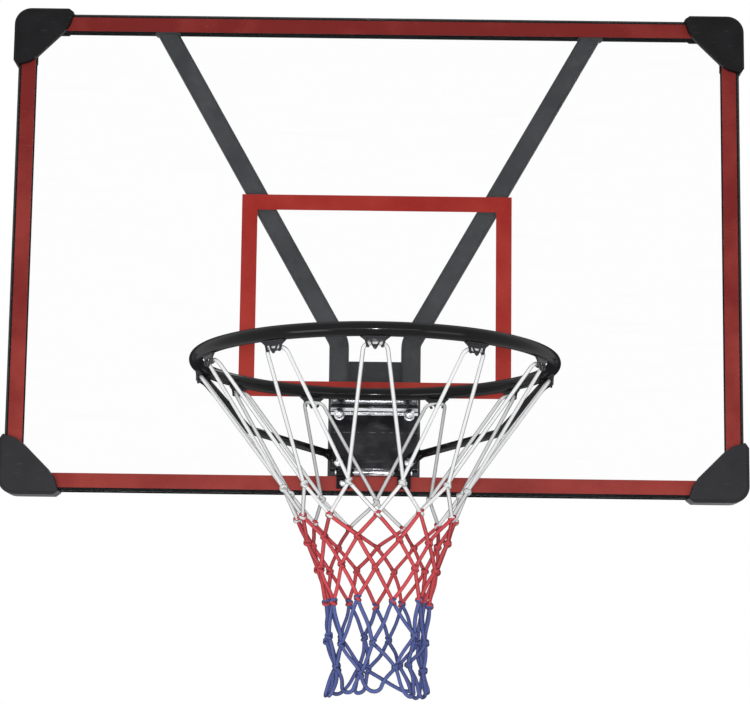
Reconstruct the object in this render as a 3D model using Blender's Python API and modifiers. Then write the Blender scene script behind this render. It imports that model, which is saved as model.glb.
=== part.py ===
"""Full-size basketball goal: clear board in a tube frame, sprung rim on a hinged bracket, knotted net.

Run with: blender --background --python part.py
Metres. X to the right, Y to the rear, Z up. The front of the board faces -Y.
The origin lies on the rear face of the rear plate, on the centre line, level with the ring.
"""

import math

import bmesh
import bpy
from mathutils import Vector

MM = 0.001
FIT = 0.3 * MM                    # gap that pieces in contact keep
SHEET_OVERRUN = 5 * MM            # how far a cutter runs past what it cuts

# Board
BOARD_WIDTH = 1120 * MM
BOARD_HEIGHT = 748 * MM
PANEL_THICKNESS = 4 * MM
PANEL_CORNER_RADIUS = 8 * MM
RING_ABOVE_BOARD_EDGE = 129 * MM
FILM_THICKNESS = 0.4 * MM
BORDER_INSET = 5 * MM
BORDER_LINE = 22 * MM
TARGET_WIDTH = 415 * MM
TARGET_HEIGHT = 315 * MM
TARGET_LINE = 24 * MM
TARGET_ABOVE_BOARD_EDGE = 148 * MM

# Frame of square tube behind the board
RAIL_HEIGHT = 25 * MM
RAIL_DEPTH = 20 * MM
TUBE_WALL = 1.5 * MM
TUBE_CORNER_RADIUS = 3 * MM
RAIL_END_CHAMFER = 10 * MM
BRACE_WIDTH = 30 * MM
BRACE_TOP_X = 330 * MM
BRACE_PAST_BOLT = 2 * MM          # the foot's middle lies this far outside the bolts
BRACE_CORNER_RADIUS = 4.5 * MM
BRACE_BEND_ABOVE_BOARD_EDGE = 231 * MM
BRACE_BEND_RADIUS = 70 * MM
REAR_PLATE_THICKNESS = 4 * MM
REAR_PLATE_TOP = 79 * MM
REAR_PLATE_ABOVE_RAIL = 4 * MM
REAR_PLATE_CORNER_RADIUS = 4 * MM
POLE_HOLE_RADIUS = 4.5 * MM
POLE_HOLE_X = 30 * MM
POLE_HOLE_HEIGHTS = (10 * MM, -70 * MM)

# Moulded corner pads
PAD_OVERHANG = 7 * MM
PAD_FRONT = 8 * MM
PAD_REAR = 3 * MM
PAD_LEG = 92 * MM
PAD_TIP = (8 * MM, 6 * MM)        # corner taken off a leg's outer end
PAD_NECK = (6 * MM, 25 * MM)      # where a leg's end meets its inner side: short of the end, in from the edge
PAD_SHOULDER = (15 * MM, 38 * MM)
PAD_CORNER_RADIUS = 24 * MM
PAD_SMALL_RADIUS = 3 * MM
PAD_ROUNDING = 2.5 * MM

# Ring and its supports
RING_INNER_DIAMETER = 450 * MM
RING_ROD = 18 * MM
RING_TO_BOARD = 151 * MM
STRUT_ROD = 12 * MM
STRUT_RING_ANGLE = 105
STRUT_LEAD = 24 * MM              # run along the underside of the ring
STRUT_LEAD_OUT = 4 * MM
STRUT_LEAD_RADIUS = 30 * MM
STRUT_BEND_INSIDE_RING = 57 * MM
STRUT_BEND_OUT = 200 * MM
STRUT_BEND_DROP = 62 * MM
STRUT_BEND_RADIUS = 32 * MM
STRUT_END_PAST_BOLT = 14 * MM
STRUT_END_ABOVE_BOLT = 2 * MM
STRUT_END_DEPTH = 3.9 * MM        # middle of the rod's end, in front of the bracket
STRUT_TAB = 4 * MM
STRUT_TAB_WIDTH = 20 * MM
STRUT_TAB_PAST_BOLT = 20 * MM
STRUT_TAB_TAPER = 4 * MM
STRUT_TAB_RADII = (8 * MM, 3 * MM)
STRUT_FACING = 0.1 * MM           # skimmed off the tab under the bolt's head

# Hinged bracket
BRACKET_SHEET = 3 * MM
BRACKET_WIDTH = 132 * MM
BRACKET_ABOVE_HINGE = 6 * MM
BRACKET_FOLD_RADIUS = 5 * MM
FLANGE_TAPER = 5 * MM             # on each side, from the fold to the ring
FLANGE_PAST_ROD = 13 * MM
JOGGLE = 5 * MM
JOGGLE_BELOW_FOLD = 1.8 * MM
JOGGLE_RADIUS = 2 * MM
WASHER_BELOW_JOGGLE = 0.5 * MM
HINGE_ABOVE_LEG_BOLT = 15.5 * MM
HINGE_PIN = 5 * MM
HINGE_BARREL = 10 * MM
HINGE_PLAY = 0.1 * MM             # between pin and bore, all round
HINGE_TONGUE_WIDTH = 60 * MM
HINGE_SIDE_GAP = 1 * MM
HINGE_WEB = 5 * MM
HINGE_WEB_INSET = 1 * MM
PIN_HEAD = 8 * MM
PIN_HEAD_THICKNESS = 1.7 * MM

# Fixed base of the hinge
BASE_SHEET = 3 * MM
BASE_EDGE = 7.5 * MM              # sheet above the upper bolts
BASE_ABOVE_HINGE = 2 * MM
LEG_INSET = 10 * MM
LEG_WIDTH = 20 * MM
LEG_EDGE = 8.5 * MM               # sheet below the leg's bolt

# Fasteners
BOLT_EDGE = 13 * MM               # from the bracket's side to the bolts
BASE_BOLT_Z = 24 * MM
STRUT_BOLT_ABOVE_HINGE = 15 * MM
LEG_BOLT_ABOVE_RAIL_MIDDLE = 4 * MM
BOLT = 8 * MM
SMALL_BOLT = 6 * MM
HEAD_TO_BOLT = 1.875
HEAD_HEIGHT_TO_BOLT = 0.7
HEAD_DOME_TURNS = (0, 0.45, 0.9, 1.3)
HEAD_RIM = 0.12                   # straight edge under the dome, as a share of the head's height
NUT_TO_BOLT = 1.625
NUT_HEIGHT_TO_BOLT = 0.8
THREAD_PAST_NUT = 2 * MM
HOLE_CLEARANCE = 0.5 * MM
TILT_CLEARANCE = 2 * MM           # where the rim tilts round a fixed bolt or nut
WASHER_CLEARANCE = 1.2 * MM
WASHER_THICKNESS = 1.6 * MM
WASHER_DIAMETER = 16 * MM
SPRING_LENGTH = 18 * MM
SPRING_MEAN_DIAMETER = 12.6 * MM
SPRING_WIRE = 1.8 * MM
SPRING_TURNS = 4
CLINCH_NUT_DIAMETER = 13 * MM
CLINCH_NUT_THICKNESS = 2.2 * MM

# Net
HOOK_COUNT = 11
HOOK_STEP = 31.5
HOOK_SHEET = 2.5 * MM
HOOK_TOP_WIDTH = 37 * MM
HOOK_LEG_X = 9.5 * MM
HOOK_LEG_DROP = 12.5 * MM
HOOK_TAB_DROP = 15.5 * MM
HOOK_TAB_X = 5.5 * MM
HOOK_SLOT = 1.3 * MM
HOOK_SLOT_TOP = 3.3 * MM
HOOK_STAGGER = 0.4 * MM
HOOK_LEG_TAPER = (1 * MM, 1.5 * MM)
HOOK_EYE_TOP = (2.8 * MM, 5.5 * MM)
HOOK_EYE_BOTTOM = (1.6 * MM, 8.2 * MM)
HOOK_SEAT_DROP = 10.1 * MM        # top of the shelf that the cord hangs on
HOOK_SHELF = (4 * MM, 1.8 * MM)
CORD = 5 * MM
BIGHT_HALF_WIDTH = 14 * MM
BIGHT_RADIUS_OF_BEND = 9 * MM
# Each row of knots: depth under the ring and radius of the net there
NET_ROWS = (
    (168 * MM, 120 * MM),
    (205 * MM, 105 * MM),
    (236 * MM, 95 * MM),
    (268 * MM, 82 * MM),
    (313 * MM, 68 * MM),
    (360 * MM, 64 * MM),
    (397 * MM, 54 * MM),
    (434 * MM, 70 * MM),
)
WHITE_TO_RED_ROW = 2
RED_TO_BLUE_ROW = 5
CROSSING = 1.2 * MM               # how far each of two fused cords stands off the middle of a knot
KNOT_OVERRUN = 0.02               # how far a bight runs past the middle of its knot, in mesh widths

# Layers from the rear plate to the front, worked out from the thicknesses
FRAME_REAR = -REAR_PLATE_THICKNESS - FIT
FRAME_FRONT = FRAME_REAR - RAIL_DEPTH
PANEL_REAR = FRAME_FRONT - FIT
PANEL_FRONT = PANEL_REAR - PANEL_THICKNESS
FILM_REAR = PANEL_FRONT - FIT
FILM_FRONT = FILM_REAR - FILM_THICKNESS
BASE_REAR = FILM_FRONT - FIT
BASE_FRONT = BASE_REAR - BASE_SHEET
BRACKET_REAR = BASE_FRONT - FIT
BRACKET_FRONT = BRACKET_REAR - BRACKET_SHEET
WASHER_REAR = BRACKET_FRONT - FIT
WASHER_FRONT = WASHER_REAR - WASHER_THICKNESS
SPRING_FRONT = WASHER_FRONT - SPRING_LENGTH
HINGE_Y = BRACKET_REAR - HINGE_BARREL / 2

# Heights, worked out from the ring's plane and from the board's lower edge
BOARD_BOTTOM = -RING_ABOVE_BOARD_EDGE
BOARD_TOP = BOARD_BOTTOM + BOARD_HEIGHT
LEG_BOLT_Z = BOARD_BOTTOM + RAIL_HEIGHT / 2 + LEG_BOLT_ABOVE_RAIL_MIDDLE
LEG_BOTTOM = LEG_BOLT_Z - LEG_EDGE
HINGE_Z = LEG_BOLT_Z + HINGE_ABOVE_LEG_BOLT
STRUT_BOLT_Z = HINGE_Z + STRUT_BOLT_ABOVE_HINGE
BRACKET_BOTTOM = HINGE_Z + BRACKET_ABOVE_HINGE
BASE_BOTTOM = HINGE_Z + BASE_ABOVE_HINGE
BASE_TOP = BASE_BOLT_Z + BASE_EDGE
REAR_PLATE_BOTTOM = BOARD_BOTTOM + RAIL_HEIGHT + REAR_PLATE_ABOVE_RAIL
FLANGE_Z = RING_ROD / 2 + FIT + BRACKET_SHEET / 2
JOGGLE_TOP = FLANGE_Z - BRACKET_FOLD_RADIUS - JOGGLE_BELOW_FOLD
SPRING_BOLT_Z = JOGGLE_TOP - JOGGLE - WASHER_BELOW_JOGGLE - WASHER_DIAMETER / 2
HOOK_TOP = -RING_ROD / 2 - FIT
HOOK_SEAT = HOOK_TOP - HOOK_SEAT_DROP
BIGHT_Z = HOOK_SEAT + FIT + CORD / 2

# Widths and radii
BOLT_X = BRACKET_WIDTH / 2 - BOLT_EDGE
LEG_OUTER_X = BRACKET_WIDTH / 2 - LEG_INSET
LEG_INNER_X = LEG_OUTER_X - LEG_WIDTH
LEG_BOLT_X = (LEG_OUTER_X + LEG_INNER_X) / 2
BRACE_FOOT_X = BOLT_X + BRACE_PAST_BOLT
REAR_PLATE_WIDTH = 2 * BRACE_FOOT_X + BRACE_WIDTH
HINGE_BORE = HINGE_PIN + 2 * HINGE_PLAY
RING_RADIUS = (RING_INNER_DIAMETER + RING_ROD) / 2
RING_Y = PANEL_FRONT - RING_TO_BOARD - RING_INNER_DIAMETER / 2
BIGHT_RADIUS = RING_RADIUS - HOOK_SHEET / 2 - FIT - CORD / 2
APART = (CORD + FIT) / 2          # the same where the two cords differ in colour and only touch

SIDES = (("left", -1), ("right", 1))

parts = None
cutters = None
materials = {}


# Scene and collections

def clear_scene():
    for obj in list(bpy.data.objects):
        bpy.data.objects.remove(obj, do_unlink=True)


def new_collection(name):
    collection = bpy.data.collections.new(name)
    bpy.context.scene.collection.children.link(collection)
    return collection


def put_in(obj, collection):
    for other in list(obj.users_collection):
        other.objects.unlink(obj)
    collection.objects.link(obj)


def material(name, colour, roughness, metallic=0.0, alpha=1.0):
    """A Principled material, made once for each name."""
    if name not in materials:
        made = bpy.data.materials.new(name)
        made.use_nodes = True
        shader = made.node_tree.nodes["Principled BSDF"]
        shader.inputs["Base Color"].default_value = (*colour, 1.0)
        shader.inputs["Roughness"].default_value = roughness
        shader.inputs["Metallic"].default_value = metallic
        shader.inputs["Alpha"].default_value = alpha
        made.diffuse_color = (*colour, alpha)
        materials[name] = made
    return materials[name]


# Outlines: lists of (u, v) points

def circle(u, v, radius, steps=12):
    turn = 2 * math.pi / steps
    return [(u + radius * math.cos(turn * (i + 0.5)), v + radius * math.sin(turn * (i + 0.5)))
            for i in range(steps)]


def rounded(points, radii, steps=4, closed=True):
    """The points with each corner replaced by an arc of its radius; 0 keeps the corner."""
    out = []
    count = len(points)
    for i, point in enumerate(points):
        radius = radii[i] if isinstance(radii, (list, tuple)) else radii
        here = Vector(point)
        if radius == 0 or (not closed and i in (0, count - 1)):
            out.append(tuple(here))
            continue
        back = (Vector(points[i - 1]) - here).normalized()
        ahead = (Vector(points[(i + 1) % count]) - here).normalized()
        half = back.angle(ahead) / 2
        reach = radius / math.tan(half)
        centre = here + (back + ahead).normalized() * radius / math.sin(half)
        first = here + back * reach - centre
        last = here + ahead * reach - centre
        sweep = first.angle(last)
        for step in range(steps + 1):
            share = step / steps
            out.append(tuple(centre + (first * math.sin((1 - share) * sweep)
                                       + last * math.sin(share * sweep)) / math.sin(sweep)))
    return out


def rectangle(low_u, high_u, low_v, high_v, radius=0.0, steps=4):
    corners = [(low_u, low_v), (high_u, low_v), (high_u, high_v), (low_u, high_v)]
    return rounded(corners, radius, steps)


def strip(path, thickness):
    """Outline of a sheet of this thickness whose middle follows the open path."""
    left, right = [], []
    for i, point in enumerate(path):
        here = Vector(point)
        before = Vector(path[max(i - 1, 0)])
        after = Vector(path[min(i + 1, len(path) - 1)])
        along = (after - before).normalized()
        into = (here - before).normalized() if i else along
        side = Vector((-along.y, along.x)) * thickness / 2 / max(along.dot(into), 0.5)
        left.append(tuple(here + side))
        right.append(tuple(here - side))
    return left + right[::-1]


# Shapes

TURNED_TO_PLANE = {
    "XZ": (math.pi / 2, 0, 0),
    "YZ": (math.pi / 2, 0, math.pi / 2),
    "XY": (0, 0, 0),
}


def even_caps(cells):
    """Turns the edges inside the flat caps of an outline, so that no triangle there is a sliver."""
    inside = []
    for edge in cells.edges:
        level = edge.verts[0].co.z
        ends = [v for face in edge.link_faces for v in face.verts]
        if len(edge.link_faces) == 2 and all(abs(v.co.z - level) < 0.001 * MM for v in ends):
            inside.append(edge)
    bmesh.ops.beautify_fill(cells, faces=cells.faces, edges=inside)


def to_mesh(obj, capped=False):
    """Replaces a curve, or a mesh with modifiers, by its finished mesh under the same name."""
    bpy.context.view_layer.update()
    evaluated = obj.evaluated_get(bpy.context.evaluated_depsgraph_get())
    mesh = bpy.data.meshes.new_from_object(evaluated)
    name = obj.name
    made = bpy.data.objects.new(name + "_mesh", mesh)
    made.matrix_world = obj.matrix_world.copy()
    cells = bmesh.new()
    cells.from_mesh(mesh)
    bmesh.ops.remove_doubles(cells, verts=cells.verts, dist=0.001 * MM)
    if capped:
        even_caps(cells)
    bmesh.ops.recalc_face_normals(cells, faces=cells.faces)
    cells.to_mesh(mesh)
    cells.free()
    bpy.data.objects.remove(obj, do_unlink=True)
    made.name = name
    parts.objects.link(made)
    return made


def finish(obj, look):
    obj.data.materials.clear()
    obj.data.materials.append(look)
    put_in(obj, parts)
    return obj


def flat(name, outlines, thickness, look, plane="XZ", at=(0, 0, 0), bevel=0.0):
    """A plate: the outlines, the first one outside and the others holes, given a thickness about `at`."""
    curve = bpy.data.curves.new(name, "CURVE")
    curve.dimensions = "2D"
    curve.fill_mode = "BOTH"
    curve.extrude = thickness / 2 - bevel
    curve.bevel_depth = bevel
    curve.bevel_resolution = 0
    curve.offset = -bevel
    for outline in outlines:
        spline = curve.splines.new("POLY")
        spline.points.add(len(outline) - 1)
        for point, (u, v) in zip(spline.points, outline):
            point.co = (u, v, 0, 1)
        spline.use_cyclic_u = True
    obj = bpy.data.objects.new(name, curve)
    obj.rotation_euler = TURNED_TO_PLANE[plane]
    obj.location = at
    parts.objects.link(obj)
    return finish(to_mesh(obj, capped=True), look)


def turned(name, profile, look, at, steps=14):
    """A turned piece on an axis along Y: (radius, distance to the front), front centre to rear centre."""
    mesh = bpy.data.meshes.new(name)
    points = [(radius, 0, height) for radius, height in profile]
    mesh.from_pydata(points, [(i, i + 1) for i in range(len(points) - 1)], [])
    obj = bpy.data.objects.new(name, mesh)
    parts.objects.link(obj)
    screw = obj.modifiers.new("Turn", "SCREW")
    screw.steps = steps
    screw.render_steps = steps
    screw.use_merge_vertices = True
    screw.merge_threshold = 0.01 * MM
    obj.rotation_euler = TURNED_TO_PLANE["XZ"]
    obj.location = at
    return finish(to_mesh(obj), look)


def rod(name, points, diameter, look, sides_step=2, closed=False):
    """A round rod or cord along the points."""
    curve = bpy.data.curves.new(name, "CURVE")
    curve.dimensions = "3D"
    curve.bevel_depth = diameter / 2
    curve.bevel_resolution = sides_step
    curve.use_fill_caps = not closed
    spline = curve.splines.new("POLY")
    spline.points.add(len(points) - 1)
    for point, place in zip(spline.points, points):
        point.co = (*place, 1)
    spline.use_cyclic_u = closed
    obj = bpy.data.objects.new(name, curve)
    parts.objects.link(obj)
    return finish(to_mesh(obj), look)


def cylinder(name, radius, start, end, look, sides=16):
    """A plain round bar from start to end."""
    axis = Vector(end) - Vector(start)
    mesh = bpy.data.meshes.new(name)
    cells = bmesh.new()
    bmesh.ops.create_cone(cells, cap_ends=True, segments=sides, radius1=radius, radius2=radius,
                          depth=axis.length)
    cells.to_mesh(mesh)
    cells.free()
    obj = bpy.data.objects.new(name, mesh)
    obj.rotation_mode = "QUATERNION"
    obj.rotation_quaternion = Vector((0, 0, 1)).rotation_difference(axis)
    obj.location = (Vector(start) + Vector(end)) / 2
    parts.objects.link(obj)
    return finish(obj, look)


def box(name, low, high, look):
    mesh = bpy.data.meshes.new(name)
    cells = bmesh.new()
    bmesh.ops.create_cube(cells, size=1)
    size = [b - a for a, b in zip(low, high)]
    bmesh.ops.scale(cells, vec=size, verts=cells.verts)
    cells.to_mesh(mesh)
    cells.free()
    obj = bpy.data.objects.new(name, mesh)
    obj.location = [(a + b) / 2 for a, b in zip(low, high)]
    parts.objects.link(obj)
    return finish(obj, look)


def combine(obj, other, operation, solver="EXACT"):
    """Adds the Boolean and moves the other shape to the cutters."""
    modifier = obj.modifiers.new(operation.title() + " " + other.name, "BOOLEAN")
    modifier.operation = operation
    modifier.solver = solver
    modifier.object = other
    other.hide_render = True
    other.display_type = "WIRE"
    put_in(other, cutters)
    return obj


def cut(obj, other):
    return combine(obj, other, "DIFFERENCE")


def join(obj, other):
    return combine(obj, other, "UNION")


def smooth(obj, angle=35):
    if obj.type == "MESH":
        obj.data.shade_smooth()
        obj.data.set_sharp_from_angle(angle=math.radians(angle))
    return obj


# Looks

def steel_black():
    return material("frame_black", (0.030, 0.028, 0.032), 0.35, 0.2)


def ring_black():
    return material("ring_coat", (0.018, 0.018, 0.020), 0.28, 0.1)


def brace_grey():
    return material("brace_grey", (0.075, 0.080, 0.088), 0.45, 0.2)


def zinc():
    return material("zinc", (0.72, 0.73, 0.75), 0.28, 1.0)


def cord_white():
    return material("cord_white", (0.90, 0.90, 0.91), 0.8)


def cord_red():
    return material("cord_red", (0.68, 0.075, 0.085), 0.8)


def cord_blue():
    return material("cord_blue", (0.065, 0.090, 0.30), 0.8)


# Board

def pole_holes():
    return [circle(side * POLE_HOLE_X, z, POLE_HOLE_RADIUS) for _, side in SIDES for z in POLE_HOLE_HEIGHTS]


def through_holes():
    """The two rows of holes for the base bolts and the spring bolts."""
    holes = []
    for _, side in SIDES:
        holes.append(circle(side * BOLT_X, BASE_BOLT_Z, SMALL_BOLT / 2 + HOLE_CLEARANCE))
        holes.append(circle(side * BOLT_X, SPRING_BOLT_Z, BOLT / 2 + HOLE_CLEARANCE))
    return holes


def leg_holes():
    return [circle(side * LEG_BOLT_X, LEG_BOLT_Z, SMALL_BOLT / 2 + HOLE_CLEARANCE) for _, side in SIDES]


def drill(obj, x, z, radius):
    """Bores the piece right through from front to rear."""
    tool = cylinder(obj.name + "_drill", radius, (x, BRACKET_FRONT - SHEET_OVERRUN, z),
                    (x, FRAME_REAR + SHEET_OVERRUN, z), steel_black())
    return cut(obj, tool)


def make_panel():
    edge = rectangle(-BOARD_WIDTH / 2, BOARD_WIDTH / 2, BOARD_BOTTOM, BOARD_TOP, PANEL_CORNER_RADIUS)
    look = material("clear_panel", (0.95, 0.96, 0.97), 0.05, 0.0, 0.15)
    middle = (PANEL_FRONT + PANEL_REAR) / 2
    flat("backboard_panel", [edge] + through_holes() + leg_holes(), PANEL_THICKNESS, look, at=(0, middle, 0))


def make_border_line():
    outlines = [
        rectangle(-BOARD_WIDTH / 2 + inset, BOARD_WIDTH / 2 - inset, BOARD_BOTTOM + inset, BOARD_TOP - inset)
        for inset in (BORDER_INSET, BORDER_INSET + BORDER_LINE)
    ]
    look = material("border_red", (0.28, 0.035, 0.028), 0.4)
    line = flat("border_line", outlines, FILM_THICKNESS, look, at=(0, (FILM_FRONT + FILM_REAR) / 2, 0))
    for _, side in SIDES:
        drill(line, side * LEG_BOLT_X, LEG_BOLT_Z, SMALL_BOLT / 2 + HOLE_CLEARANCE)


def make_target_square():
    bottom = BOARD_BOTTOM + TARGET_ABOVE_BOARD_EDGE
    outlines = [
        rectangle(-TARGET_WIDTH / 2 + inset, TARGET_WIDTH / 2 - inset,
                  bottom + inset, bottom + TARGET_HEIGHT - inset)
        for inset in (0, TARGET_LINE)
    ]
    look = material("target_red", (0.38, 0.030, 0.022), 0.4)
    line = flat("target_square", outlines, FILM_THICKNESS, look, at=(0, (FILM_FRONT + FILM_REAR) / 2, 0))
    for _, side in SIDES:
        drill(line, side * BOLT_X, BASE_BOLT_Z, SMALL_BOLT / 2 + HOLE_CLEARANCE)


# Frame

def tube_section(width, depth):
    """Outer and inner outline of a square tube."""
    inside = TUBE_CORNER_RADIUS - TUBE_WALL
    outer = rectangle(-width / 2, width / 2, -depth / 2, depth / 2, TUBE_CORNER_RADIUS, 3)
    half_width, half_depth = width / 2 - TUBE_WALL, depth / 2 - TUBE_WALL
    return [outer, rectangle(-half_width, half_width, -half_depth, half_depth, inside, 2)]


def make_long_rails():
    middle_y = (FRAME_FRONT + FRAME_REAR) / 2
    for name, edge, inward in (("rail_top", BOARD_TOP, -1), ("rail_bottom", BOARD_BOTTOM, 1)):
        z = edge + inward * RAIL_HEIGHT / 2
        rail = flat(name, tube_section(RAIL_DEPTH, RAIL_HEIGHT), BOARD_WIDTH, steel_black(), "YZ",
                    (0, middle_y, z))
        past = SHEET_OVERRUN
        for _, side in SIDES:
            end = side * BOARD_WIDTH / 2
            corner = [(end - side * RAIL_END_CHAMFER - side * past, edge - inward * past),
                      (end + side * past, edge - inward * past),
                      (end + side * past, edge + inward * (RAIL_END_CHAMFER + past))]
            wedge = flat(name + "_end_cut", [corner], RAIL_DEPTH + 2 * past, steel_black(),
                         at=(0, middle_y, 0))
            cut(rail, wedge)
        if name == "rail_bottom":
            for _, side in SIDES:
                drill(rail, side * LEG_BOLT_X, LEG_BOLT_Z, SMALL_BOLT / 2 + HOLE_CLEARANCE)


def make_side_rails():
    middle_y = (FRAME_FRONT + FRAME_REAR) / 2
    length = BOARD_HEIGHT - 2 * RAIL_HEIGHT - 2 * FIT
    middle_z = (BOARD_TOP + BOARD_BOTTOM) / 2
    for name, side in SIDES:
        x = side * (BOARD_WIDTH - RAIL_HEIGHT) / 2
        flat("rail_" + name, tube_section(RAIL_HEIGHT, RAIL_DEPTH), length, steel_black(), "XY",
             (x, middle_y, middle_z))


def make_brace(name, side):
    """One leg of the V: upright at the foot, then leaning out to the top rail, in rounded square tube."""
    foot = BOARD_BOTTOM + RAIL_HEIGHT + FIT
    top = BOARD_TOP - RAIL_HEIGHT - FIT
    bend = (side * BRACE_FOOT_X, BOARD_BOTTOM + BRACE_BEND_ABOVE_BOARD_EDGE)
    head = (side * BRACE_TOP_X, top)
    lean = (Vector(head) - Vector(bend)).normalized()
    beyond = Vector(head) + lean * BRACE_WIDTH
    path = rounded([(side * BRACE_FOOT_X, foot), bend, tuple(beyond)], [0, BRACE_BEND_RADIUS, 0], 6, False)
    section = bpy.data.curves.new(name + "_section", "CURVE")
    section.dimensions = "2D"
    spline = section.splines.new("POLY")
    outline = rectangle(-BRACE_WIDTH / 2, BRACE_WIDTH / 2, -RAIL_DEPTH / 2, RAIL_DEPTH / 2,
                        BRACE_CORNER_RADIUS, 3)
    spline.points.add(len(outline) - 1)
    for point, (u, v) in zip(spline.points, outline):
        point.co = (u, v, 0, 1)
    spline.use_cyclic_u = True
    section_obj = bpy.data.objects.new(name + "_section", section)
    parts.objects.link(section_obj)
    run = bpy.data.curves.new(name, "CURVE")
    run.dimensions = "2D"
    run.fill_mode = "NONE"
    run.bevel_mode = "OBJECT"
    run.bevel_object = section_obj
    route = run.splines.new("POLY")
    route.points.add(len(path) - 1)
    for point, (u, v) in zip(route.points, path):
        point.co = (u, v, 0, 1)
    obj = bpy.data.objects.new(name, run)
    obj.rotation_euler = TURNED_TO_PLANE["XZ"]
    obj.location = (0, (FRAME_FRONT + FRAME_REAR) / 2, 0)
    parts.objects.link(obj)
    brace = finish(to_mesh(obj), brace_grey())
    bpy.data.objects.remove(section_obj, do_unlink=True)
    wall = brace.modifiers.new("Wall", "SOLIDIFY")
    wall.thickness = TUBE_WALL
    wall.offset = -1
    wall.use_even_offset = True
    trim = box(name + "_top_cut", (head[0] - 3 * BRACE_WIDTH, FRAME_FRONT - SHEET_OVERRUN, top),
               (head[0] + 3 * BRACE_WIDTH, FRAME_REAR + SHEET_OVERRUN, top + 3 * BRACE_WIDTH), steel_black())
    cut(brace, trim)
    drill(brace, side * BOLT_X, SPRING_BOLT_Z, BOLT / 2 + HOLE_CLEARANCE)
    drill(brace, side * BOLT_X, BASE_BOLT_Z, SMALL_BOLT / 2 + HOLE_CLEARANCE)


def make_rear_plate():
    edge = rectangle(-REAR_PLATE_WIDTH / 2, REAR_PLATE_WIDTH / 2, REAR_PLATE_BOTTOM, REAR_PLATE_TOP,
                     REAR_PLATE_CORNER_RADIUS)
    flat("rear_plate", [edge] + through_holes() + pole_holes(), REAR_PLATE_THICKNESS, brace_grey(),
         at=(0, -REAR_PLATE_THICKNESS / 2, 0))


# Corner pads

def make_corner_pad(name, side, up):
    """A moulded cap on a board corner: its pocket takes the panel and the rails from the inside."""
    corner_x = BOARD_WIDTH / 2 + PAD_OVERHANG
    corner_z = (BOARD_TOP if up > 0 else BOARD_BOTTOM) + up * PAD_OVERHANG

    def place(outline):
        """Turns (in from the side edge, in from the top or bottom edge) into x and z."""
        return [(side * (corner_x - u), corner_z - up * v) for u, v in outline]

    leg = [(PAD_LEG - PAD_TIP[0], 0), (PAD_LEG, PAD_TIP[1]), (PAD_LEG - PAD_NECK[0], PAD_NECK[1]),
           (PAD_LEG - PAD_SHOULDER[0], PAD_SHOULDER[1])]
    shape = [(0, 0)] + leg + [(v, u) for u, v in leg[::-1]]
    radii = [PAD_CORNER_RADIUS] + [PAD_SMALL_RADIUS] * (len(shape) - 1)
    front = FILM_FRONT - FIT - PAD_FRONT
    rear = FRAME_REAR + FIT + PAD_REAR
    look = material("pad_plastic", (0.016, 0.016, 0.018), 0.5)
    pad = flat(name, [place(rounded(shape, radii, 2))], rear - front, look,
               at=(0, (front + rear) / 2, 0), bevel=PAD_ROUNDING)
    wall = PAD_OVERHANG - FIT
    chamfer = PANEL_CORNER_RADIUS * (2 - math.sqrt(2))
    far = PAD_LEG + 3 * SHEET_OVERRUN
    pocket = [(wall, wall + chamfer), (wall + chamfer, wall), (far, wall), (far, far), (wall, far)]
    low, high = FILM_FRONT - FIT, FRAME_REAR + FIT
    tool = flat(name + "_pocket", [place(pocket)], high - low, look, at=(0, (low + high) / 2, 0))
    cut(pad, tool)


# Hinged bracket and its fixed base

def make_base_plate():
    """Plate bolted to the board: two legs over the lower rail, and a hinge knuckle on each leg."""
    half = BRACKET_WIDTH / 2
    right = [(half, BASE_TOP), (half, BASE_BOTTOM), (LEG_OUTER_X, BASE_BOTTOM), (LEG_OUTER_X, LEG_BOTTOM),
             (LEG_INNER_X, LEG_BOTTOM), (LEG_INNER_X, BASE_BOTTOM)]
    outline = right + [(-x, z) for x, z in right[::-1]]
    holes = through_holes() + leg_holes()
    holes += [circle(side * BOLT_X, STRUT_BOLT_Z, CLINCH_NUT_DIAMETER / 2 + TILT_CLEARANCE)
              for _, side in SIDES]
    plate = flat("base_plate", [outline] + holes, BASE_SHEET, ring_black(),
                 at=(0, (BASE_FRONT + BASE_REAR) / 2, 0))
    start = HINGE_TONGUE_WIDTH / 2 + HINGE_SIDE_GAP
    for name, side in SIDES:
        knuckle = cylinder("base_knuckle_" + name, HINGE_BARREL / 2, (side * start, HINGE_Y, HINGE_Z),
                           (side * LEG_OUTER_X, HINGE_Y, HINGE_Z), ring_black())
        low_x, high_x = sorted((side * (LEG_INNER_X + HINGE_WEB_INSET),
                                side * (LEG_OUTER_X - HINGE_WEB_INSET)))
        web_front = HINGE_Y + (HINGE_BORE + HINGE_BARREL) / 4
        web = box("base_web_" + name, (low_x, web_front, HINGE_Z - HINGE_WEB / 2),
                  (high_x, BASE_FRONT + BASE_SHEET / 2, HINGE_Z + HINGE_WEB / 2), ring_black())
        join(plate, knuckle)
        join(plate, web)
    bore = cylinder("base_bore", HINGE_BORE / 2, (-LEG_OUTER_X - SHEET_OVERRUN, HINGE_Y, HINGE_Z),
                    (LEG_OUTER_X + SHEET_OVERRUN, HINGE_Y, HINGE_Z), ring_black())
    cut(plate, bore)


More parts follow.
